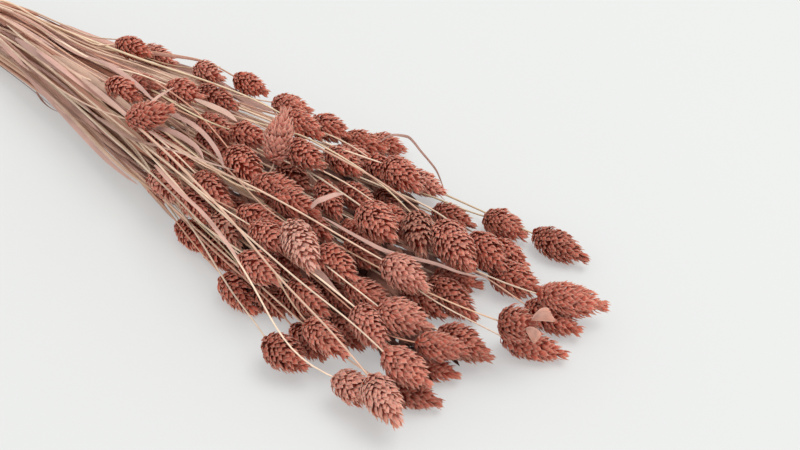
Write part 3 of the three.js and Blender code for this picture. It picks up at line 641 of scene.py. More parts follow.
def height_over_heads(u, v, own, bases, axes, lengths, radii):
    """The lowest height at which a stem at a picture point passes over all heads but its own."""
    heights = np.arange(ROUTE_TOP, ROUTE_FLOOR - 1, -1.0)
    places = np.array([first_spot(u, v, height)[0] for height in heights]) + ORIGIN
    between = places[:, None] - bases
    share = (between * axes).sum(axis=2) / lengths
    off = np.linalg.norm(between - axes * (share * lengths)[..., None], axis=2)
    girth = np.maximum(fatness(share), LEAST_GIRTH)
    hit = (share > -0.03) & (share < 1.03) & (off < radii * girth + ROUTE_CLEARANCE)
    hit[:, [own, LEANING_HEAD]] = False
    rows = np.flatnonzero(hit.any(axis=1))
    return heights[rows[0]] + 1 if len(rows) else ROUTE_FLOOR


def stretched_stem(own, marks, course, heads):
    """A stem along marked picture points, stretched over the heads that it crosses."""
    bases, axes, lengths, radii = heads
    base, start = bases[own], course[0]
    count = ROUTE_POINTS
    line = even_picture_points(marks, count)
    ground = lambda u, v, z: first_spot(u, v, z)[0] + ORIGIN
    if own in LOW_ROUTES:
        least = np.full(count, ROUTE_FLOOR)
    else:
        least = np.array([height_over_heads(u, v, own, *heads) for u, v in line])
    whole = np.vstack([course, base])
    late = marks[0][0] > LATE_START
    if late:
        x = ground(*marks[0], least[0])[0]
        start_height = float(np.interp(x, whole[:, 0], whole[:, 2]))
    else:
        start_height = max(least[0], ROUTE_START_HEIGHT)
        if own == LOWEST_ROUTE:
            start_height = LOWEST_ROUTE_HEIGHT
    least[0], least[-1] = start_height, base[2]
    for k in range(int(count * 0.6) + 1, count):
        far = np.linalg.norm(ground(*line[k], base[2]) - ground(*line[-1], base[2]))
        least[k] = min(least[k], base[2] + 0.6 * far + 1)
    height = np.maximum(least, np.linspace(start_height, base[2], count))
    for _ in range(STRETCH_ROUNDS):
        inner = np.maximum((height[:-2] + height[2:]) / 2, least[1:-1] - 0.5)
        height = np.r_[height[0], inner, height[-1]]
    for _ in range(SMOOTH_ROUNDS):
        height[1:-1] = 0.25 * height[:-2] + 0.5 * height[1:-1] + 0.25 * height[2:]
    points = np.array([ground(u, v, z) for (u, v), z in zip(line, height)])
    kept = LONG_ROUTE_POINTS if own in LONG_ROUTES else SHORT_ROUTE_POINTS
    keep = points[np.linspace(0, count - 3, kept).round().astype(int)]
    if late:
        return np.vstack([whole[whole[:, 0] < keep[0][0] - 30], keep[::2]]).round()
    span = np.linalg.norm(points[0] - start)
    leave = start + np.array((1, 0.05, 0.0)) * span * 0.33
    arrive = points[0] - unit(points[3] - points[0]) * span * 0.33
    middle = [
        (1 - t) ** 3 * start
        + 3 * (1 - t) ** 2 * t * leave
        + 3 * (1 - t) * t * t * arrive
        + t**3 * points[0]
        for t in (0.33, 0.66)
    ]
    return np.vstack([start, middle, keep]).round()


def draw_in(courses, bases):
    """Draws the stems in near the tie, so that the bunch's edge is where the photo has it."""
    low, high = {}, {}
    for course, base in zip(courses, bases):
        line = np.vstack([course, base])
        run = np.r_[0, np.cumsum(np.linalg.norm(np.diff(line, axis=0), axis=1))]
        at = np.linspace(0, run[-1], 200)
        u, v = picture_point(np.stack([np.interp(at, run, line[:, k]) for k in range(3)], 1))
        for column, row in zip(np.round(u / 10).astype(int), v):
            low[column] = min(low.get(column, 1e9), row)
            high[column] = max(high.get(column, -1e9), row)
    columns = sorted(low)
    across = [column * 10 for column in columns]
    upper, lower = [low[c] for c in columns], [high[c] for c in columns]
    drawn = []
    for index, course in enumerate(courses):
        course = np.array(course, float)
        for k in range(1, len(course)):
            u, v = picture_point(course[k])
            if not EDGE_FROM < u < EDGE_TO or (index in STEM_ROUTES and u > 110):
                continue
            top, bottom = np.interp(u, across, upper), np.interp(u, across, lower)
            new_bottom = np.interp(u, *np.transpose(LOWER_EDGE)) - 1.5
            new_top = np.interp(u, *np.transpose(UPPER_EDGE)) + 1.5 if u < 120 else top
            goal = new_top + (v - top) / max(bottom - top, 1) * (new_bottom - new_top)
            fade = clamp((u + 50) / 40) * clamp((200 - u) / 30)
            course[k][:2] = spot(u, v + (goal - v) * fade, course[k][2])[:2]
        drawn.append(course)
    return drawn


def catmull_rom(points, steps):
    """Points on a smooth line through others, with its pace set by the root of their spacing."""
    points = np.vstack([2 * points[0] - points[1], points, 2 * points[-1] - points[-2]])
    pace = ((np.diff(points, axis=0) ** 2).sum(axis=1)) ** 0.25
    result = []
    for place in np.linspace(0, len(points) - 3, steps + 1):
        k = min(int(place), len(points) - 4)
        t = place - k
        p0, p1, p2, p3 = points[k : k + 4]
        d0, d1, d2 = pace[k : k + 3]
        leave = ((p1 - p0) / d0 - (p2 - p0) / (d0 + d1) + (p2 - p1) / d1) * d1
        arrive = ((p2 - p1) / d1 - (p3 - p1) / (d1 + d2) + (p3 - p2) / d2) * d1
        cubic = 2 * p1 - 2 * p2 + leave + arrive
        square = -3 * p1 + 3 * p2 - 2 * leave - arrive
        result.append(p1 + leave * t + square * t**2 + cubic * t**3)
    return np.array(result)


def rooted_leaf(marks, rise, courses):
    """The course of a leaf blade, rooted on the stem nearest to where it starts."""
    steps = len(marks) - 1
    heights = [rise[0] + (rise[1] - rise[0]) * k / steps for k in range(steps + 1)]
    points = np.array([first_spot(u, v, z)[0] for (u, v), z in zip(marks, heights)])
    start, step = courses[:, :-1].reshape(-1, 3), np.diff(courses, axis=1).reshape(-1, 3)
    t = clamp(((points[0] - start) * step).sum(axis=1) / (step**2).sum(axis=1))
    near = start + step * t[:, None]
    shift = near[np.linalg.norm(near - points[0], axis=1).argmin()] - points[0]
    fade = (1 - np.arange(steps + 1) / steps) ** 2
    return catmull_rom(points + shift * fade[:, None], LEAF_STEPS)


def leaf_places(courses, lone_base):
    """The leaf blades: the width of each, with the course of its middle."""
    leaves = [
        [width, tenths(rooted_leaf(marks, rise, courses) + ORIGIN)]
        for width, rise, marks in LEAF_MARKS
    ]
    leaves[LATE_LEAF][1] = leaves[LATE_LEAF][1][LATE_LEAF_FROM:]
    moved = leaves[MOVED_LEAF][1]
    aside = zip(*picture_point(moved), moved[:, 2], MOVED_LEAF_BY)
    leaves[MOVED_LEAF] = [MOVED_LEAF_WIDTH, [spot(u - k, v - 0.2 * k, z) for u, v, z, k in aside]]
    leaves[BROAD_LEAF][0] = BROAD_LEAF_WIDTH
    for index, (width, marks) in LEAF_REDRAWN.items():
        leaves[index] = [width, [spot(*mark) for mark in marks]]
    u, v = (float(value) for value in picture_point(lone_base))
    drop = [spot(u + a, v + b, lone_base[2] + c) for a, b, c in DROP_WAY]
    leaves.append([DROP_WIDTH, drop])
    for width, height, *marks in LEAF_STRIPS:
        leaves.append([width, [spot(a, b, height) for a, b in marks]])
    return [(width, *np.round(course).ravel()) for width, course in leaves]


@functools.cache
def layout():
    """Works out where everything lies. Its rows hold millimetres in the part's frame:

    heads: the number of the CAD node, the base, the tip, the radius
    stems: one for each head, X of its cut end, then its course from the tie
    leaves: the width, then the course from the root
    bed: corners of the ground that dark leaf bits cover as painted shade
    husks: foot, tip, width
    """
    heads = Heads()
    settle(heads, set())
    clumps, touching = choose_clumps(heads)
    settle(heads, touching)
    first_members = sorted({clump[0] for clump in clumps})
    numbers = [first_members.index(clump[0]) + 1 for clump in clumps]
    solid_courses = route_stems(heads)

    base, tip = tenths(heads.along(0) + ORIGIN), tenths(heads.along(1) + ORIGIN)
    radius = tenths(heads.radius)
    lengths = np.linalg.norm(tip - base, axis=1)
    ovals = (base.copy(), (tip - base) / lengths[:, None], lengths, radius * ROUTE_PLUMPNESS)
    courses = list(tenths(solid_courses[:, :-1] + ORIGIN))
    for row, marks in STEM_ROUTES.items():
        courses[row] = stretched_stem(row, marks, courses[row], ovals)

    for row, shift in HEAD_SHIFTS.items():
        for points, (right, down) in ((base, shift[:2]), (tip, shift[2:])):
            u, v = picture_point(points[row])
            points[row] = spot(u + right, v + down, points[row][2])
    for points, mark in ((base, REMARKED_BASE), (tip, REMARKED_TIP)):
        points[REMARKED_HEAD] = spot(*mark, points[REMARKED_HEAD][2])
    courses = draw_in(courses, base)

    draw = repeatable(23)
    far = FIRST_TIE_X - TAIL_LENGTH + ORIGIN[0]
    ends = [round(float(tenths(far + (2 * next(draw) - 1) * TAIL_STAGGER))) for _ in courses]
    one_place = lambda values: [round(float(value), 1) for value in values]
    return types.SimpleNamespace(
        heads=[
            (number, *one_place(start), *one_place(end), float(size))
            for number, start, end, size in zip(numbers, base, tip, radius)
        ],
        stems=[(end, *np.round(course).ravel()) for end, course in zip(ends, courses)],
        leaves=leaf_places(solid_courses, base[DROP_HEAD]),
        bed=[tuple(np.round(spot(u, v, BED_HEIGHT)[:2])) for u, v in BED_MARKS],
        husks=[
            (*one_place(spot(*foot)), *one_place(spot(*end)), width)
            for foot, end, width in HUSK_MARKS
        ],
    )


# Heads whose dye took differently, as the photograph shows them, by row: 0 is dark, 1 is pale
DYED_HEADS = {
    0: 0.55, 1: 0.68, 2: 0.66, 3: 0.52, 8: 0.54, 10: 0.72, 11: 0.2, 13: 0.2, 15: 0.02, 18: 0.2,
    20: 0.3, 22: 0.7, 27: 0.3, 29: 0.55, 31: 0.5, 33: 0.02, 35: 0.62, 37: 0.56, 38: 0.34,
    39: 0.5, 40: 0.3, 41: 0.2, 42: 0.7, 44: 0.25, 45: 0.85, 46: 0.15, 47: 0.5, 49: 0.6, 53: 0.2,
    54: 0.3, 55: 0.15, 56: 0.02, 57: 0.1, 59: 0.62, 60: 0.66, 61: 0, 62: 0.58, 63: 0.25,
    64: 0.24, 65: 0.72, 66: 0.76, 67: 0.62, 68: 0.2, 70: 0.3, 71: 0.3, 73: 0.5, 74: 0.15,
    75: 0.52, 76: 0.66, 78: 0.6, 83: 0.66, 84: 0.05, 87: 0.3, 90: 0.2,
}
BROWN_HEADS = (34, 82)


def linear(code):
    """The linear colour of an sRGB hex value."""
    parts = [int(code[k : k + 2], 16) / 255 for k in (1, 3, 5)]
    return tuple(c / 12.92 if c <= 0.04045 else ((c + 0.055) / 1.055) ** 2.4 for c in parts)


def colour(name, description, code):
    """A colour setting with its default."""
    return FloatVectorProperty(
        name=name, description=description, subtype="COLOR", size=3, min=0, max=1,
        default=linear(code),
    )


def length(name, description, millimetres):
    """A length setting with its default, given in millimetres."""
    return FloatProperty(
        name=name, description=description, unit="LENGTH", default=millimetres * MM
    )


class SeedHeadSettings(bpy.types.PropertyGroup):
    glume_length: length("Glume length", "Length of one papery scale", 6.6)
    glume_width: length("Glume width", "Widest place of one papery scale", 3.4)
    row_gap: length("Row gap", "Distance between rows of scales along the head", 2.3)
    glumes_round: IntProperty(
        name="Scales round", description="Scales in the fullest row", default=19
    )
    plumpness: FloatProperty(
        name="Plumpness", description="Width against the plain solid", default=1.12
    )
    # The deep colour is painted shade for the foot of the scales, where they overlap
    deep: colour("Deep colour", "Colour at the foot of the scales", "#A8432F")
    body: colour("Body colour", "Colour of the scales", "#BE604E")
    light: colour("Tip colour", "Colour at the tips and edges of the scales", "#DB9D88")
    brown: colour("Brown colour", "Colour of a head where the dye faded to brown", "#A97A68")
    faded: colour("Faded colour", "Colour of a head that took up little dye", "#CFA496")


class StemSettings(bpy.types.PropertyGroup):
    foot_radius: length("Radius at the tie", "Radius of a stem in the bundle", 1.2)
    top_radius: length("Radius at the head", "Radius of a stem under its seed head", 0.47)
    straw: colour("Straw colour", "Colour of most stems", "#EFD4BA")
    rosy: colour("Rosy colour", "Colour of stems that took up dye", "#CC957C")
    olive: colour("Olive colour", "Colour of the greener stems", "#DBC39D")


class LeafSettings(bpy.types.PropertyGroup):
    strips: IntProperty(
        name="Strips", description="Narrow strips of leaf along the stems", default=290
    )
    shade_litter_gap: length("Litter spacing", "Distance between the bits of leaf on the ground", 5.8)
    lilac: colour("Leaf colour", "Colour of most leaf blades", "#D2A799")
    rose: colour("Rose leaf colour", "Colour of the redder leaf blades", "#C78D76")
    pale: colour("Pale leaf colour", "Colour of the bleached leaf blades", "#DFBDA7")
    # Painted shade: the colour of the leaf bits that lie low between the heads
    litter_shade: colour("Litter colour", "Colour of the leaf bits that lie low", "#4E2A24")


class TieSettings(bpy.types.PropertyGroup):
    cord_radius: length("Twine radius", "Radius of the twine", 1.6)
    turns: IntProperty(name="Turns", description="Turns of twine round the bundle", default=8)
    fibre: colour("Fibre colour", "Colour of the twine", "#B89A6C")


class StageSettings(bpy.types.PropertyGroup):
    surface: colour("Surface colour", "Colour of the surface that the bunch lies on", "#A8AAA8")
    glow: FloatProperty(
        name="Glow", description="Light that comes through the surface from below", default=0.33
    )
    key_power: FloatProperty(
        name="Key light", description="Power of the soft light", unit="POWER", default=52
    )
    fill: FloatProperty(
        name="Fill light", description="Strength of the light from all round", default=0.92
    )


class BunchSettings(bpy.types.PropertyGroup):
    heads: PointerProperty(type=SeedHeadSettings)
    stems: PointerProperty(type=StemSettings)
    leaves: PointerProperty(type=LeafSettings)
    tie: PointerProperty(type=TieSettings)
    stage: PointerProperty(type=StageSettings)


# Modelling


def select(obj, kind, test):
    """In edit mode, selects the vertices or edges that pass a test, and nothing else."""
    bpy.ops.mesh.select_mode(type=kind)
    bpy.ops.mesh.select_all(action="DESELECT")
    mesh = bmesh.from_edit_mesh(obj.data)
    for part in mesh.verts if kind == "VERT" else mesh.edges:
        part.select = test(part)
    mesh.select_flush_mode()
    bmesh.update_edit_mesh(obj.data)


def shape(obj, test, scale=(1, 1, 1), move=(0, 0, 0)):
    """In edit mode, scales the vertices that pass a test about the Z axis, then moves them."""
    select(obj, "VERT", lambda vert: test(vert.co))
    bpy.ops.transform.resize(value=scale, center_override=(0, 0, 0))
    bpy.ops.transform.translate(value=move)


def add_rod(sides, cuts):
    """Adds a rod of unit radius from Z 0 to Z 1, cut across evenly, and leaves it in edit mode."""
    bpy.ops.object.select_all(action="DESELECT")
    bpy.ops.mesh.primitive_cylinder_add(
        vertices=sides, radius=1, depth=1, end_fill_type="TRIFAN", location=(0, 0, 0.5)
    )
    rod = bpy.context.object
    bpy.ops.object.transform_apply(location=True)
    bpy.ops.object.mode_set(mode="EDIT")
    for count in cuts:
        select(rod, "EDGE", lambda edge: abs(edge.verts[0].co.z - edge.verts[1].co.z) > 1e-6)
        bpy.ops.mesh.subdivide(number_cuts=count)
    return rod


def take_pattern(obj):
    """Leaves edit mode and takes the modelled shape as points and faces to copy."""
    bpy.ops.object.mode_set(mode="OBJECT")
    points = np.array([vert.co[:] for vert in obj.data.vertices])
    faces = [tuple(face.vertices) for face in obj.data.polygons]
    bpy.data.meshes.remove(obj.data)
    return points, faces


def glume_pattern():
    """One papery scale: a keeled boat, widest below the middle, with a long point."""
    glume = add_rod(3, (2,))
    shape(glume, lambda co: co.y > 0.5, move=(0, -0.4, 0))
    shape(glume, lambda co: co.y < -0.3, move=(0, 0.5, 0))
    shape(glume, lambda co: True, scale=(0.577, 0.32, 1))
    rings = ((0, 0.5, 0), (1 / 3, 0.88, 0.08), (2 / 3, 0.95, 0.1), (1, 0.05, -0.08))
    for height, width, bulge in rings:
        ring = lambda co, height=height: abs(co.z - height) < 0.05
        shape(glume, ring, scale=(width, width, 1), move=(0, bulge, 0))
    shape(glume, lambda co: co.z > 0.95 and abs(co.x) > 0.001, move=(0, 0, -0.12))
    shape(glume, lambda co: co.z > 0.95 and co.y > 0.0, move=(0, 0, -0.12))
    return take_pattern(glume)


def culm_pattern():
    """One stem, with the swollen joints that grass stems have."""
    culm = add_rod(8, (63,))
    for height in (0.3, 0.66):
        shape(culm, lambda co, height=height: abs(co.z - height) < 0.009, scale=(1.3, 1.3, 1))
    return take_pattern(culm)


def blade_pattern(cuts):
    """One leaf blade: a thin fold along its midrib."""
    blade = add_rod(4, (cuts,))
    shape(blade, lambda co: co.y > 0.1, scale=(1, 0.3, 1))
    shape(blade, lambda co: co.y < -0.1, scale=(1, 0.08, 1))
    shape(blade, lambda co: abs(co.x) < 0.1 and co.y < 0, move=(0, 0.2, 0))
    return take_pattern(blade)


def smooth_course(points, count):
    """Evenly spaced places on a smooth curve through points."""
    points = np.asarray(points, float)
    place = np.r_[0, np.cumsum(np.linalg.norm(np.diff(points, axis=0), axis=1))]
    slope = np.gradient(points, place, axis=0)
    at = np.linspace(0, place[-1], count)
    k = np.clip(np.searchsorted(place, at, side="right") - 1, 0, len(points) - 2)
    gap = (place[k + 1] - place[k])[:, None]
    t = (at - place[k])[:, None] / gap
    start = points[k] * (2 * t**3 - 3 * t**2 + 1) + slope[k] * gap * (t**3 - 2 * t**2 + t)
    return start + points[k + 1] * (3 * t**2 - 2 * t**3) + slope[k + 1] * gap * (t**3 - t**2)


def lay_along(points, course, width, depth, turn=0):
    """Bends copied points along a course: Z follows it, X starts level and Y starts upwards.

    Width, depth and turn are values or functions of the share of the course, from 0 to 1."""
    heading = np.gradient(course, axis=0)
    heading /= np.linalg.norm(heading, axis=1)[:, None]
    up = np.array((0, 0, 1.0)) if abs(heading[0][2]) < 0.9 else np.array((0, 1.0, 0))
    ups = []
    for ahead in heading:
        up = up - ahead * np.dot(up, ahead)
        up /= np.linalg.norm(up)
        ups.append(up)
    sides = np.cross(heading, ups)
    share = points[:, 2]
    at = np.linspace(0, 1, len(course))
    here, side, rise = (
        np.stack([np.interp(share, at, np.asarray(way)[:, k]) for k in range(3)], axis=1)
        for way in (course, sides, ups)
    )
    width, depth, turn = (
        value(share) if callable(value) else value for value in (width, depth, turn)
    )
    x = points[:, 0] * width
    y = points[:, 1] * depth
    across = x * np.cos(turn) - y * np.sin(turn)
    above = x * np.sin(turn) + y * np.cos(turn)
    return here + across[:, None] * side + above[:, None] * rise


def fatness(share):
    """How thick a seed head is along its length, as a share of its radius."""
    return np.sin(np.pi * np.clip(share, 0.0001, 0.9999) ** 0.84) ** 0.64


class Pile:
    """Gathers copies of patterns into one mesh, with values that the materials read."""

    def __init__(self):
        self.points, self.faces, self.values, self.size = [], [], {}, 0

    def add(self, points, faces, **values):
        self.faces += [tuple(corner + self.size for corner in face) for face in faces]
        self.points.append(points)
        self.size += len(points)
        for name, value in values.items():
            self.values.setdefault(name, []).append(np.broadcast_to(value, len(points)))

    def make(self, name, cad_node, slot, material, sharp=40):
        mesh = bpy.data.meshes.new(name)
        mesh.from_pydata(np.concatenate(self.points).tolist(), [], self.faces)
        for key, rows in self.values.items():
            layer = mesh.attributes.new(key, "FLOAT", "POINT")
            layer.data.foreach_set("value", np.concatenate(rows).astype(np.float32))
        mesh.materials.append(material)
        piece = bpy.data.objects.new(name, mesh)
        bpy.context.collection.objects.link(piece)
        bpy.ops.object.select_all(action="DESELECT")
        piece.select_set(True)
        bpy.context.view_layer.objects.active = piece
        bpy.ops.object.shade_smooth_by_angle(angle=math.radians(sharp))
        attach(piece, "root")
        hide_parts(cad_node)
        return piece


# Materials


def add_node(tree, kind, settings, inputs):
    """Adds one shader node. An input is a value, or the socket that feeds it."""
    made = tree.nodes.new("ShaderNode" + kind)
    for name, value in settings.items():
        setattr(made, name, value)
    for key, value in inputs.items():
        if isinstance(value, bpy.types.NodeSocket):
            tree.links.new(value, made.inputs[key])
        else:
            made.inputs[key].default_value = value
    return made


def start_material(name, **shader):
    """A new material with its shader, and the node tree to add to."""
    material = bpy.data.materials.new(name)
    material.use_nodes = True
    tree = material.node_tree
    surface = tree.nodes["Principled BSDF"]
    for key, value in shader.items():
        surface.inputs[key.replace("_", " ")].default_value = value
    return material, tree, surface


def opaque(colour):
    """A colour with full alpha."""
    return (*colour, 1)


def attribute(tree, name):
    """What the points of a piece carry under a name."""
    return add_node(tree, "Attribute", {"attribute_name": name}, {}).outputs["Fac"]


def ranged(tree, value, span, new_span=(0, 1)):
    """A value, held to one span and stretched to another."""
    inputs = {"Value": value, 1: span[0], 2: span[1], 3: new_span[0], 4: new_span[1]}
    return add_node(tree, "MapRange", {}, inputs).outputs[0]


def worked(tree, operation, *values):
    """What an operation makes of one value or two."""
    return add_node(tree, "Math", {"operation": operation}, dict(enumerate(values))).outputs[0]


def noise(tree, place, scale, detail):
    """A noise pattern: its scale is its number of waves in a metre."""
    inputs = {"Vector": place, "Scale": scale, "Detail": detail}
    return add_node(tree, "TexNoise", {}, inputs).outputs["Fac"]


def mixed(tree, share, first, second, way="MIX"):
    """Two colours, mixed by a share of the second."""
    settings = {"data_type": "RGBA", "blend_type": way}
    return add_node(tree, "Mix", settings, {0: share, 6: first, 7: second}).outputs[2]


def shaded(tree, skin, strength):
    """A colour made darker or lighter by a value."""
    grey = add_node(tree, "CombineColor", {}, {0: strength, 1: strength, 2: strength}).outputs[0]
    return mixed(tree, 1.0, skin, grey, "MULTIPLY")


def dyed_glume(settings):
    """Papery canary grass glume, dyed by soaking and dried: matt, with painted shade at the foot
    of each scale where the scales overlap, lighter and slightly dusty at the thin edges and tips."""
    material, tree, surface = start_material("dyed_glume", Roughness=0.75, Specular_IOR_Level=0.18)
    # Light passes a little way through the thin scales
    surface.inputs["Subsurface Weight"].default_value = 0.4
    surface.inputs["Subsurface Radius"].default_value = (1.0, 0.35, 0.25)
    surface.inputs["Subsurface Scale"].default_value = 0.0025
    value = {
        name: attribute(tree, name)
        for name in ("along", "edge", "tone", "dye", "brown")
    }
    place = add_node(tree, "TexCoord", {}, {}).outputs["Object"]
    mottle = noise(tree, place, 420, 2)
    # Painted shade: the foot of each scale, hidden where the scales overlap, is mixed towards the
    # deep colour
    foot = ranged(tree, value["along"], (0.06, 0.48))
    bare = ranged(tree, value["dye"], (0.55, 1))
    body = mixed(tree, value["brown"], opaque(settings.body), opaque(settings.brown))
    body = mixed(tree, bare, body, opaque(settings.faded))
    part = worked(tree, "MULTIPLY", bare, 0.6)
    deep = mixed(tree, part, opaque(settings.deep), body)
    skin = mixed(tree, foot, deep, body)
    top = ranged(tree, value["along"], (0.62, 1.0))
    rim = ranged(tree, value["edge"], (0.5, 1), (0, 0.7))
    lit = worked(tree, "MAXIMUM", top, rim)
    lit = worked(tree, "MULTIPLY", lit, foot)
    skin = mixed(tree, lit, skin, opaque(settings.light))
    strength = ranged(tree, value["tone"], (0, 1), (0.74, 1.2))
    took = ranged(tree, value["dye"], (0, 1), (0.66, 1.24))
    blotch = ranged(tree, mottle, (0.3, 0.7), (0.88, 1.12))
    strength = worked(tree, "MULTIPLY", strength, took)
    strength = worked(tree, "MULTIPLY", strength, blotch)
    skin = shaded(tree, skin, strength)
    tree.links.new(skin, surface.inputs["Base Color"])
    return material


def dried_straw(settings):
    """Dried grass culm: a smooth, waxy, hollow straw with fine lengthwise fibres."""
    material, tree, surface = start_material("dried_straw", Roughness=0.46, Specular_IOR_Level=0.45)
    tone = attribute(tree, "tone")
    rosy = attribute(tree, "rosy")
    strand = attribute(tree, "strand")
    place = add_node(tree, "TexCoord", {}, {}).outputs["Object"]
    # Fibres about 0.4 mm wide and 20 mm long, coarser than real ones so that they show
    stretch = {"Vector": place, "Scale": (30, 900, 900)}
    fibre_place = add_node(tree, "Mapping", {}, stretch).outputs[0]
    fibre = noise(tree, fibre_place, 1, 3)
    olive = ranged(tree, strand, (0.7, 1.0))
    skin = mixed(tree, olive, opaque(settings.straw), opaque(settings.olive))
    skin = mixed(tree, rosy, skin, opaque(settings.rosy))
    strength = ranged(tree, tone, (0, 1), (0.78, 1.18))
    grain = ranged(tree, fibre, (0.25, 0.75), (0.82, 1.14))
    strength = worked(tree, "MULTIPLY", strength, grain)
    skin = shaded(tree, skin, strength)
    relief = {"Strength": 0.3, "Distance": 0.0002, "Height": fibre}
    bump = add_node(tree, "Bump", {}, relief).outputs[0]
    tree.links.new(skin, surface.inputs["Base Color"])
    tree.links.new(bump, surface.inputs["Normal"])
    return material


def dyed_leaf(settings):
    """Dried grass leaf, faded from the dye bath: thin and papery, with fine parallel veins."""
    material, tree, surface = start_material("dyed_leaf", Roughness=0.6, Specular_IOR_Level=0.3)
    tone = attribute(tree, "tone")
    strand = attribute(tree, "strand")
    across = attribute(tree, "across")
    place = add_node(tree, "TexCoord", {}, {}).outputs["Object"]
    # Veins about 0.5 mm apart, drawn wider than real ones so that they show
    vein = worked(tree, "MULTIPLY", across, 26.0)
    vein = worked(tree, "SINE", vein)
    stretch = {"Vector": place, "Scale": (25, 120, 120)}
    cloud_place = add_node(tree, "Mapping", {}, stretch).outputs[0]
    cloud = noise(tree, cloud_place, 1, 3)
    red = ranged(tree, strand, (0.55, 0.8))
    bleached = ranged(tree, strand, (0.42, 0.2))
    skin = mixed(tree, red, opaque(settings.lilac), opaque(settings.rose))
    skin = mixed(tree, bleached, skin, opaque(settings.pale))
    # Painted shade: bits whose strand value is past 1 are mixed towards the dark litter colour
    low = ranged(tree, strand, (1.0, 2.0))
    skin = mixed(tree, low, skin, opaque(settings.litter_shade))
    strength = ranged(tree, tone, (0, 1), (0.88, 1.22))
    patch = ranged(tree, cloud, (0.3, 0.7), (0.78, 1.15))
    line = ranged(tree, vein, (-1, 1), (0.87, 1.08))
    strength = worked(tree, "MULTIPLY", strength, patch)
    strength = worked(tree, "MULTIPLY", strength, line)
    skin = shaded(tree, skin, strength)
    relief = {"Strength": 0.5, "Distance": 0.0002, "Height": vein}
    bump = add_node(tree, "Bump", {}, relief).outputs[0]
    tree.links.new(skin, surface.inputs["Base Color"])
    tree.links.new(bump, surface.inputs["Normal"])
    return material


def jute_twine(settings):
    """Jute twine, spun and laid from three plies: dull, hairy and streaked along the fibres."""
    material, tree, surface = start_material("jute_twine", Roughness=0.85, Specular_IOR_Level=0.2)
    place = add_node(tree, "TexCoord", {}, {}).outputs["Object"]
    fibre = noise(tree, place, 900, 4)
    shade = ranged(tree, fibre, (0.3, 0.7), (0.7, 1.2))
    skin = shaded(tree, opaque(settings.fibre), shade)
    relief = {"Strength": 0.6, "Distance": 0.0003, "Height": fibre}
    bump = add_node(tree, "Bump", {}, relief).outputs[0]
    tree.links.new(skin, surface.inputs["Base Color"])
    tree.links.new(bump, surface.inputs["Normal"])
    return material


def opal_acrylic(settings):
    """Opal acrylic of a product table, matt and lit a little from below, with pale shadows."""
    material, tree, surface = start_material("opal_acrylic", Roughness=0.8, Specular_IOR_Level=0.2)
    surface.inputs["Emission Color"].default_value = (1, 1, 1, 1)
    surface.inputs["Emission Strength"].default_value = settings.glow
    place = add_node(tree, "TexCoord", {}, {}).outputs["Object"]
    paint = noise(tree, place, 3, 2)
    white = tuple(min(1, part * 1.03) for part in settings.surface)
    skin = mixed(tree, paint, opaque(settings.surface), opaque(white))
    tree.links.new(skin, surface.inputs["Base Color"])
    return material


# Laying out


def head_frame(base, tip):
    """The axis of a head and two directions square to it."""
    axis = (tip - base) / np.linalg.norm(tip - base)
    side = np.cross(axis, (0, 0, 1) if abs(axis[2]) < 0.9 else (0, 1, 0))
    side /= np.linalg.norm(side)
    return axis, side, np.cross(axis, side)


def glume_places(settings, base, tip, radius, draw):
    """The foot and the tip of every scale of a head, and the way that its keel faces."""
    axis, side, rise = head_frame(base, tip)
    long = np.linalg.norm(tip - base)
    rows = int(round(long / settings.row_gap))
    share, angle = [], []
    for row in range(rows):
        level = 0.07 + 0.96 * (row / (rows - 1)) ** 1.15
        full = fatness(min(level, 0.93))
        crowd = np.interp(level, (0.5, 0.9), (1, 0.75)) * (0.2 + 0.8 * full)
        count = max(5, int(round(settings.glumes_round * radius / 0.0095 * crowd)))
        turns = (np.arange(count) + 0.5 * (row % 2) + draw.uniform(-0.16, 0.16, count)) / count
        angle.append(turns * math.tau)
        share.append(level + draw.uniform(-0.014, 0.014, count))
    share, angle = np.concatenate(share), np.concatenate(angle)
    lean = np.radians(np.interp(share, (0.08, 0.2, 0.4, 0.7, 1), (84, 64, 48, 36, 22)))
    lean = lean + np.radians(draw.normal(0, 9, len(lean)))
    size = settings.glume_length * draw.uniform(0.85, 1.15, len(lean))
    size = size * np.interp(share, (0.1, 0.4, 0.8), (0.85, 1, 1.3))
    reach = radius * fatness(np.minimum(share, 0.93)) ** 0.85
    reach = reach + draw.uniform(-0.0006, 0.0007, len(lean))
    reach = reach * np.where(share > 0.9, draw.uniform(0.25, 1, len(lean)), 1)
    foot_reach = np.maximum(reach - size * np.sin(lean), 0.07 * radius)
    out = np.cos(angle)[:, None] * side + np.sin(angle)[:, None] * rise
    tips = base + (share * long)[:, None] * axis + reach[:, None] * out
    foot_level = np.maximum(share * long - size * np.cos(lean), 0.02 * long)
    feet = base + foot_level[:, None] * axis + foot_reach[:, None] * out
    return feet, tips, out, share


def lay_glumes(pattern, widths, feet, tips, out, draw):
    """Copies of the scale pattern, one for each foot and tip."""
    points, faces = pattern
    heading = tips - feet
    along = heading / np.linalg.norm(heading, axis=1)[:, None]
    keel = out - along * np.sum(out * along, axis=1)[:, None]
    keel /= np.linalg.norm(keel, axis=1)[:, None]
    side = np.cross(along, keel)
    twist = draw.normal(0, 0.3, len(feet))[:, None]
    cosine, sine = np.cos(twist), np.sin(twist)
    keel, side = keel * cosine + side * sine, side * cosine - keel * sine
    widths = widths[:, None, None]
    laid = feet[:, None] + points[None, :, 2:3] * heading[:, None]
    across, deep = points[None, :, 0:1], points[None, :, 1:2]
    laid = laid + widths * (across * side[:, None] + deep * keel[:, None])
    start = np.arange(len(feet)) * len(points)
    copies = [tuple(corner + first for corner in face) for first in start for face in faces]
    return laid.reshape(-1, 3), copies


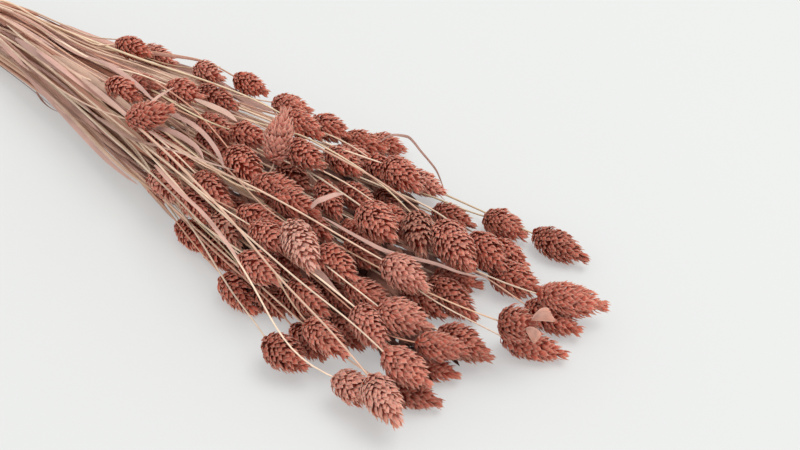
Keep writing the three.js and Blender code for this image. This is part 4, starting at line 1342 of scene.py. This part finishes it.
def stem_courses():
    """The course of every stem from the tie to its head, in metres."""
    courses = []
    for row, head in zip(layout().stems, layout().heads):
        base, tip = np.array(head[1:4]), np.array(head[4:7])
        axis = (tip - base) / np.linalg.norm(tip - base)
        course = np.vstack([np.array(row[1:]).reshape(-1, 3), base + 3 * axis])
        course = smooth_course(course * MM, 110)
        for _ in range(24):
            course[1:-1] = (course[:-2] + 2 * course[1:-1] + course[2:]) / 4
        courses.append(course)
    return courses


def ground_places(gap, draw):
    """Places on a loose grid that fills the outline of the ground that the dark leaf bits of
    painted shade cover.
    """
    corners = np.array(layout().bed) * MM
    following = np.roll(corners, -1, axis=0)
    low, high = corners.min(axis=0), corners.max(axis=0)
    places = []
    for x in np.arange(low[0], high[0], gap):
        for y in np.arange(low[1], high[1], gap):
            x0, y0 = np.array((x, y)) + draw.uniform(-0.4, 0.4, 2) * gap
            crosses = (corners[:, 1] > y0) != (following[:, 1] > y0)
            rise = following[:, 1] - corners[:, 1] + 1e-12
            meets = corners[:, 0] + (y0 - corners[:, 1]) * (following[:, 0] - corners[:, 0]) / rise
            if np.sum(crosses & (meets > x0)) % 2:
                places.append((x0, y0))
    return np.array(places)


class GRASS_OT_seed_heads(bpy.types.Operator):
    """Adds the seed heads, each a slim core with rows of papery scales"""

    bl_idname = "grass.seed_heads"
    bl_label = "Seed heads"

    def execute(self, context):
        settings = context.scene.grass_bunch.heads
        material = dyed_glume(settings)
        glume = glume_pattern()
        core = take_pattern(add_rod(8, (7,)))
        husk = blade_pattern(11)
        piles = {}
        for index, (number, *place, radius) in enumerate(layout().heads):
            draw = np.random.default_rng(index)
            base, tip = np.array(place[:3]) * MM, np.array(place[3:]) * MM
            radius = radius * MM * settings.plumpness
            pile = piles.setdefault(number, Pile())
            dye = DYED_HEADS.get(index, draw.uniform(0.3, 0.62))
            brown = 0.6 if index in BROWN_HEADS else draw.uniform(0, 0.14)
            course = np.linspace(base, base + 0.86 * (tip - base), 12)
            girth = lambda share: 0.55 * radius * fatness(share)
            inside = lay_along(core[0], course, girth, girth)
            # The core inside the head takes the deep foot colour and a low tone, as painted shade
            pile.add(inside, core[1], along=0, edge=0, tone=0.3, dye=dye, brown=brown)
            feet, tips, out, share = glume_places(settings, base, tip, radius, draw)
            count = len(feet)
            widths = settings.glume_width * draw.uniform(0.85, 1.15, count)
            widths = widths * np.interp(share, (0.15, 0.45, 0.75, 1), (0.85, 1, 1.15, 0.75))
            laid, copies = lay_glumes(glume, widths, feet, tips, out, draw)
            laid[:, 2] = np.maximum(laid[:, 2], 0.0002)
            pile.add(
                laid,
                copies,
                along=np.tile(glume[0][:, 2], count),
                edge=np.tile(np.abs(glume[0][:, 0]) * 2, count),
                tone=np.repeat(0.5 * draw.uniform(0, 1, count) + 0.5 * share, len(glume[0])),
                dye=dye,
                brown=brown,
            )
        for place in layout().husks:
            course = np.linspace(place[:3], place[3:6], 12) * MM
            course[:, 2] += 2 * MM + 2 * MM * np.sin(np.linspace(0, math.pi, 12))
            half = place[6] * MM / 5.5
            fan = np.cross(course[-1] - course[0], (0, 0, 1))
            for spread in (-0.34, -0.17, 0, 0.17, 0.34):
                way = course + np.linspace(0, spread, 12)[:, None] * fan
                way = way + (0, 0, 0.6 * MM * abs(spread))
                width = lambda s: half * fatness(1 - 0.96 * s)
                laid = lay_along(husk[0], way, width, half, 0.5 * spread - 0.6)
                values = {"along": 0.7, "tone": 0.3 - 0.5 * spread, "dye": 0.75, "brown": 0.4}
                piles[HUSK_HEAD].add(laid, husk[1], edge=1.2 * np.abs(husk[0][:, 0]), **values)
        heads = [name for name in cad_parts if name.startswith("head")]
        names = {int(name.split("_")[-1]): name for name in heads}
        if set(names) != set(piles):
            raise RuntimeError("the seed heads don't match the CAD nodes")
        for number, pile in sorted(piles.items()):
            pile.make(names[number] + "_glumes", names[number], "seed_head", material)
        return {"FINISHED"}


class GRASS_OT_stems(bpy.types.Operator):
    """Adds the stems, from their cut ends through the tie to the seed heads"""

    bl_idname = "grass.stems"
    bl_label = "Stems"

    def execute(self, context):
        settings = context.scene.grass_bunch.stems
        draw = np.random.default_rng(5)
        culm = culm_pattern()
        tail = add_rod(8, (5,))
        # The cut end is hollow, as a straw is
        shape(tail, lambda co: co.z > 0.99 and abs(co.x) + abs(co.y) < 0.1, move=(0, 0, -0.06))
        tail_pattern = take_pattern(tail)
        pile = Pile()
        middle = np.array(((TIE_X, TIE_Y, TIE_Z),)) * MM
        for row, course in zip(layout().stems, stem_courses()):
            values = {"tone": draw.uniform(), "strand": draw.uniform()}
            values["rosy"] = max(0, draw.uniform(-0.5, 1))
            thick = draw.uniform(0.82, 1.12)
            radius = lambda s: thick * (settings.foot_radius * (1 - s) + settings.top_radius * s)
            pile.add(lay_along(culm[0], course, radius, radius), culm[1], **values)
            slot = course[0] - middle[0]
            # Below the tie's middle the cut ends spread less, because the surface is there
            spread = np.array((0, 1.3, 1.06 if slot[2] < 0 else 1.3))
            end = middle[0] + slot * spread
            end[0] = row[0] * MM
            tail = np.linspace(course[0] + (1.0 * MM, 0, 0), end, 12)
            foot = thick * settings.foot_radius
            pile.add(lay_along(tail_pattern[0], tail, foot, foot), tail_pattern[1], **values)
        pile.make("grass_stems", "stems", "straw", dried_straw(settings), sharp=75)
        return {"FINISHED"}


class GRASS_OT_leaves(bpy.types.Operator):
    """Adds the leaf blades, the narrow strips of leaf that cling to the stems, and the dark leaf
    bits on the ground that are painted shade
    """

    bl_idname = "grass.leaves"
    bl_label = "Leaf blades"

    def execute(self, context):
        settings = context.scene.grass_bunch.leaves
        draw = np.random.default_rng(11)
        blade = blade_pattern(27)
        pile = Pile()
        taper = lambda s: np.interp(
            s, (0, 0.08, 0.35, 0.75, 0.93, 1), (0.3, 0.75, 1, 0.8, 0.4, 0.08)
        )
        for index, row in enumerate(layout().leaves):
            half = row[0] * MM / 2
            course = smooth_course(np.array(row[1:]).reshape(-1, 3) * MM, 40)
            start, swing = draw.uniform(-0.5, 0.5), draw.uniform(-0.9, 0.9)
            leaf_hue_and_shade = draw.uniform(0.3, 0.56) if index < NAMED_LEAVES else draw.uniform(0.2, 0.62)
            self.add_blade(pile, blade, course, lambda s: half * taper(s), start, swing, leaf_hue_and_shade, draw)
        courses = np.array([smooth_course(course, 80) for course in stem_courses()])
        middle = courses.mean(axis=0)
        for index in range(settings.strips):
            own = courses[draw.integers(len(courses))]
            first = draw.integers(0, 34)
            own = own[first : min(79, first + draw.integers(20, 42))]
            own = own[own[:, 0] < 0.07]
            if len(own) < 8:
                continue
            centre = np.interp(own[:, 0], middle[:, 0], middle[:, 1])
            inward = draw.uniform(0, 0.35) * (centre - own[:, 1])
            wander = np.sin(np.linspace(0, 3, len(own)))[:, None] * draw.normal(0, 1.2, 3) * MM
            # Close to the tie the strips lie tight on the stems
            loose = np.interp(own[:, 0], (-0.2, -0.05), (0.1, 1))[:, None]
            course = own + loose * (wander + (0, 0, draw.uniform(-12, 2) * MM))
            course[:, 1] += inward
            course[:, 2] = np.maximum(course[:, 2], 2 * MM)
            half = draw.uniform(0.9, 2.5) * MM
            start, swing, leaf_hue_and_shade = draw.uniform(-1, 1), draw.normal(0, 1.2), draw.uniform(0.2, 1)
            self.add_blade(pile, blade, course, lambda s: half * taper(s), start, swing, leaf_hue_and_shade, draw)
        # Bits of leaf on the ground between the heads and stems, laid there as painted shade
        bit = blade_pattern(5)
        for place in ground_places(settings.shade_litter_gap, draw):
            for repeat in range(2):
                way, reach = draw.normal(0, 0.3), draw.uniform(6, 11) * MM
                reach = reach * np.array((math.cos(way), math.sin(way)))
                ends = np.stack([place - reach, place + reach]) + draw.normal(0, 1.5 * MM, 2)
                course = np.column_stack(
                    [np.linspace(*ends, 8), np.full(8, draw.uniform(1, 5) * MM)]
                )
                half = draw.uniform(2.2, 4) * MM
                # Values past 1 make the bits dark as painted shade: all of them among the heads,
                # some near the stems
                leaf_hue_and_shade = draw.uniform(0.5, 1.7) if place[0] < 0.085 else draw.uniform(1.4, 2)
                width, start = lambda s: half * taper(s), draw.uniform(-0.3, 0.3)
                self.add_blade(pile, bit, course, width, start, 0.3, leaf_hue_and_shade, draw)
        pile.make("leaf_blades", "stems", "straw", dyed_leaf(settings))
        return {"FINISHED"}

    def add_blade(self, pile, blade, course, half, start, swing, leaf_hue_and_shade, draw):
        """Lays one blade along its course, turning as it goes."""
        points, faces = blade
        laid = lay_along(points, course, half, half, lambda s: start + swing * np.sin(2.4 * s))
        laid[:, 2] = np.maximum(laid[:, 2], 0.0003)
        pile.add(laid, faces, tone=draw.uniform(), strand=leaf_hue_and_shade, across=points[:, 0])


class GRASS_OT_tie(bpy.types.Operator):
    """Adds the twine that ties the stems"""

    bl_idname = "grass.tie"
    bl_label = "Twine"

    def execute(self, context):
        settings = context.scene.grass_bunch.tie
        low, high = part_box("tie")
        thick = settings.cord_radius
        middle = np.array(((low[0] + high[0]) / 2, (low[1] + high[1]) / 2, TIE_Z * MM))
        ring = (high[1] - low[1]) / 2 - thick
        rod = take_pattern(add_rod(6, (9, 9, 7)))
        at = np.linspace(0, 1, 900)
        turn = at * settings.turns * math.tau + math.pi / 2
        run = (at - 0.5) * (high[0] - low[0] - 2 * thick)
        path = middle + np.stack([run, ring * np.cos(turn), ring * np.sin(turn)], axis=1)
        pile = Pile()
        out = np.stack([0 * at, np.cos(turn), np.sin(turn)], axis=1)
        for ply in range(3):
            spin = at * 110 * math.tau + ply * math.tau / 3
            offset = np.cos(spin)[:, None] * out + np.sin(spin)[:, None] * np.array((1, 0, 0))
            laid = lay_along(rod[0], path + 0.44 * thick * offset, 0.5 * thick, 0.5 * thick)
            laid[:, 2] = np.maximum(laid[:, 2], 0)
            pile.add(laid, rod[1], tone=0.5)
        pile.make("jute_tie", "tie", "twine", jute_twine(settings), sharp=80)
        return {"FINISHED"}


class GRASS_OT_stage(bpy.types.Operator):
    """Adds the pale surface, the soft light and the camera"""

    bl_idname = "grass.stage"
    bl_label = "Surface, light and camera"

    def execute(self, context):
        settings = context.scene.grass_bunch.stage
        bpy.ops.object.select_all(action="DESELECT")
        bpy.ops.mesh.primitive_plane_add(size=8)
        floor = context.object
        floor.name = "surface"
        floor.data.materials.append(opal_acrylic(settings))

        world = bpy.data.worlds.new("soft_room")
        world.use_nodes = True
        world.node_tree.nodes["Background"].inputs["Color"].default_value = (1, 1, 1, 1)
        world.node_tree.nodes["Background"].inputs["Strength"].default_value = settings.fill
        context.scene.world = world
        context.scene.view_settings.view_transform = "Standard"

        bpy.ops.object.light_add(type="AREA", location=(0.9, 0.9, 3.2))
        key = context.object
        key.name = "softbox"
        key.data.size = 2.0
        key.data.energy = settings.key_power
        aim = Vector((0.15, 0, 0)) - key.location
        key.rotation_euler = aim.to_track_quat("-Z", "Y").to_euler()

        bpy.ops.object.camera_add(
            location=[place * MM for place in CAMERA_PLACE],
            rotation=(math.radians(CAMERA_TILT), 0, TURN),
        )
        camera = context.object
        camera.name = "camera"
        camera.data.lens = CAMERA_LENS
        camera.data.sensor_width = CAMERA_FILM
        context.scene.camera = camera
        return {"FINISHED"}


class GRASS_PT_panel(bpy.types.Panel):
    """Lists the steps that make the bunch"""

    bl_label = "Canary grass bunch"
    bl_idname = "GRASS_PT_panel"
    bl_space_type = "VIEW_3D"
    bl_region_type = "UI"
    bl_category = "Grass"

    def draw(self, context):
        for step in STEPS:
            self.layout.operator(step.bl_idname)


STEPS = (GRASS_OT_stage, GRASS_OT_seed_heads, GRASS_OT_stems, GRASS_OT_leaves, GRASS_OT_tie)
GROUPS = (SeedHeadSettings, StemSettings, LeafSettings, TieSettings, StageSettings, BunchSettings)
CLASSES = (*GROUPS, *STEPS, GRASS_PT_panel)


def register():
    for kind in CLASSES:
        bpy.utils.register_class(kind)
    bpy.types.Scene.grass_bunch = PointerProperty(type=BunchSettings)


def unregister():
    del bpy.types.Scene.grass_bunch
    for kind in reversed(CLASSES):
        bpy.utils.unregister_class(kind)


def main():
    register()
    bpy.ops.grass.stage()
    bpy.ops.grass.seed_heads()
    bpy.ops.grass.stems()
    bpy.ops.grass.leaves()
    bpy.ops.grass.tie()


if __name__ == "__main__":
    main()
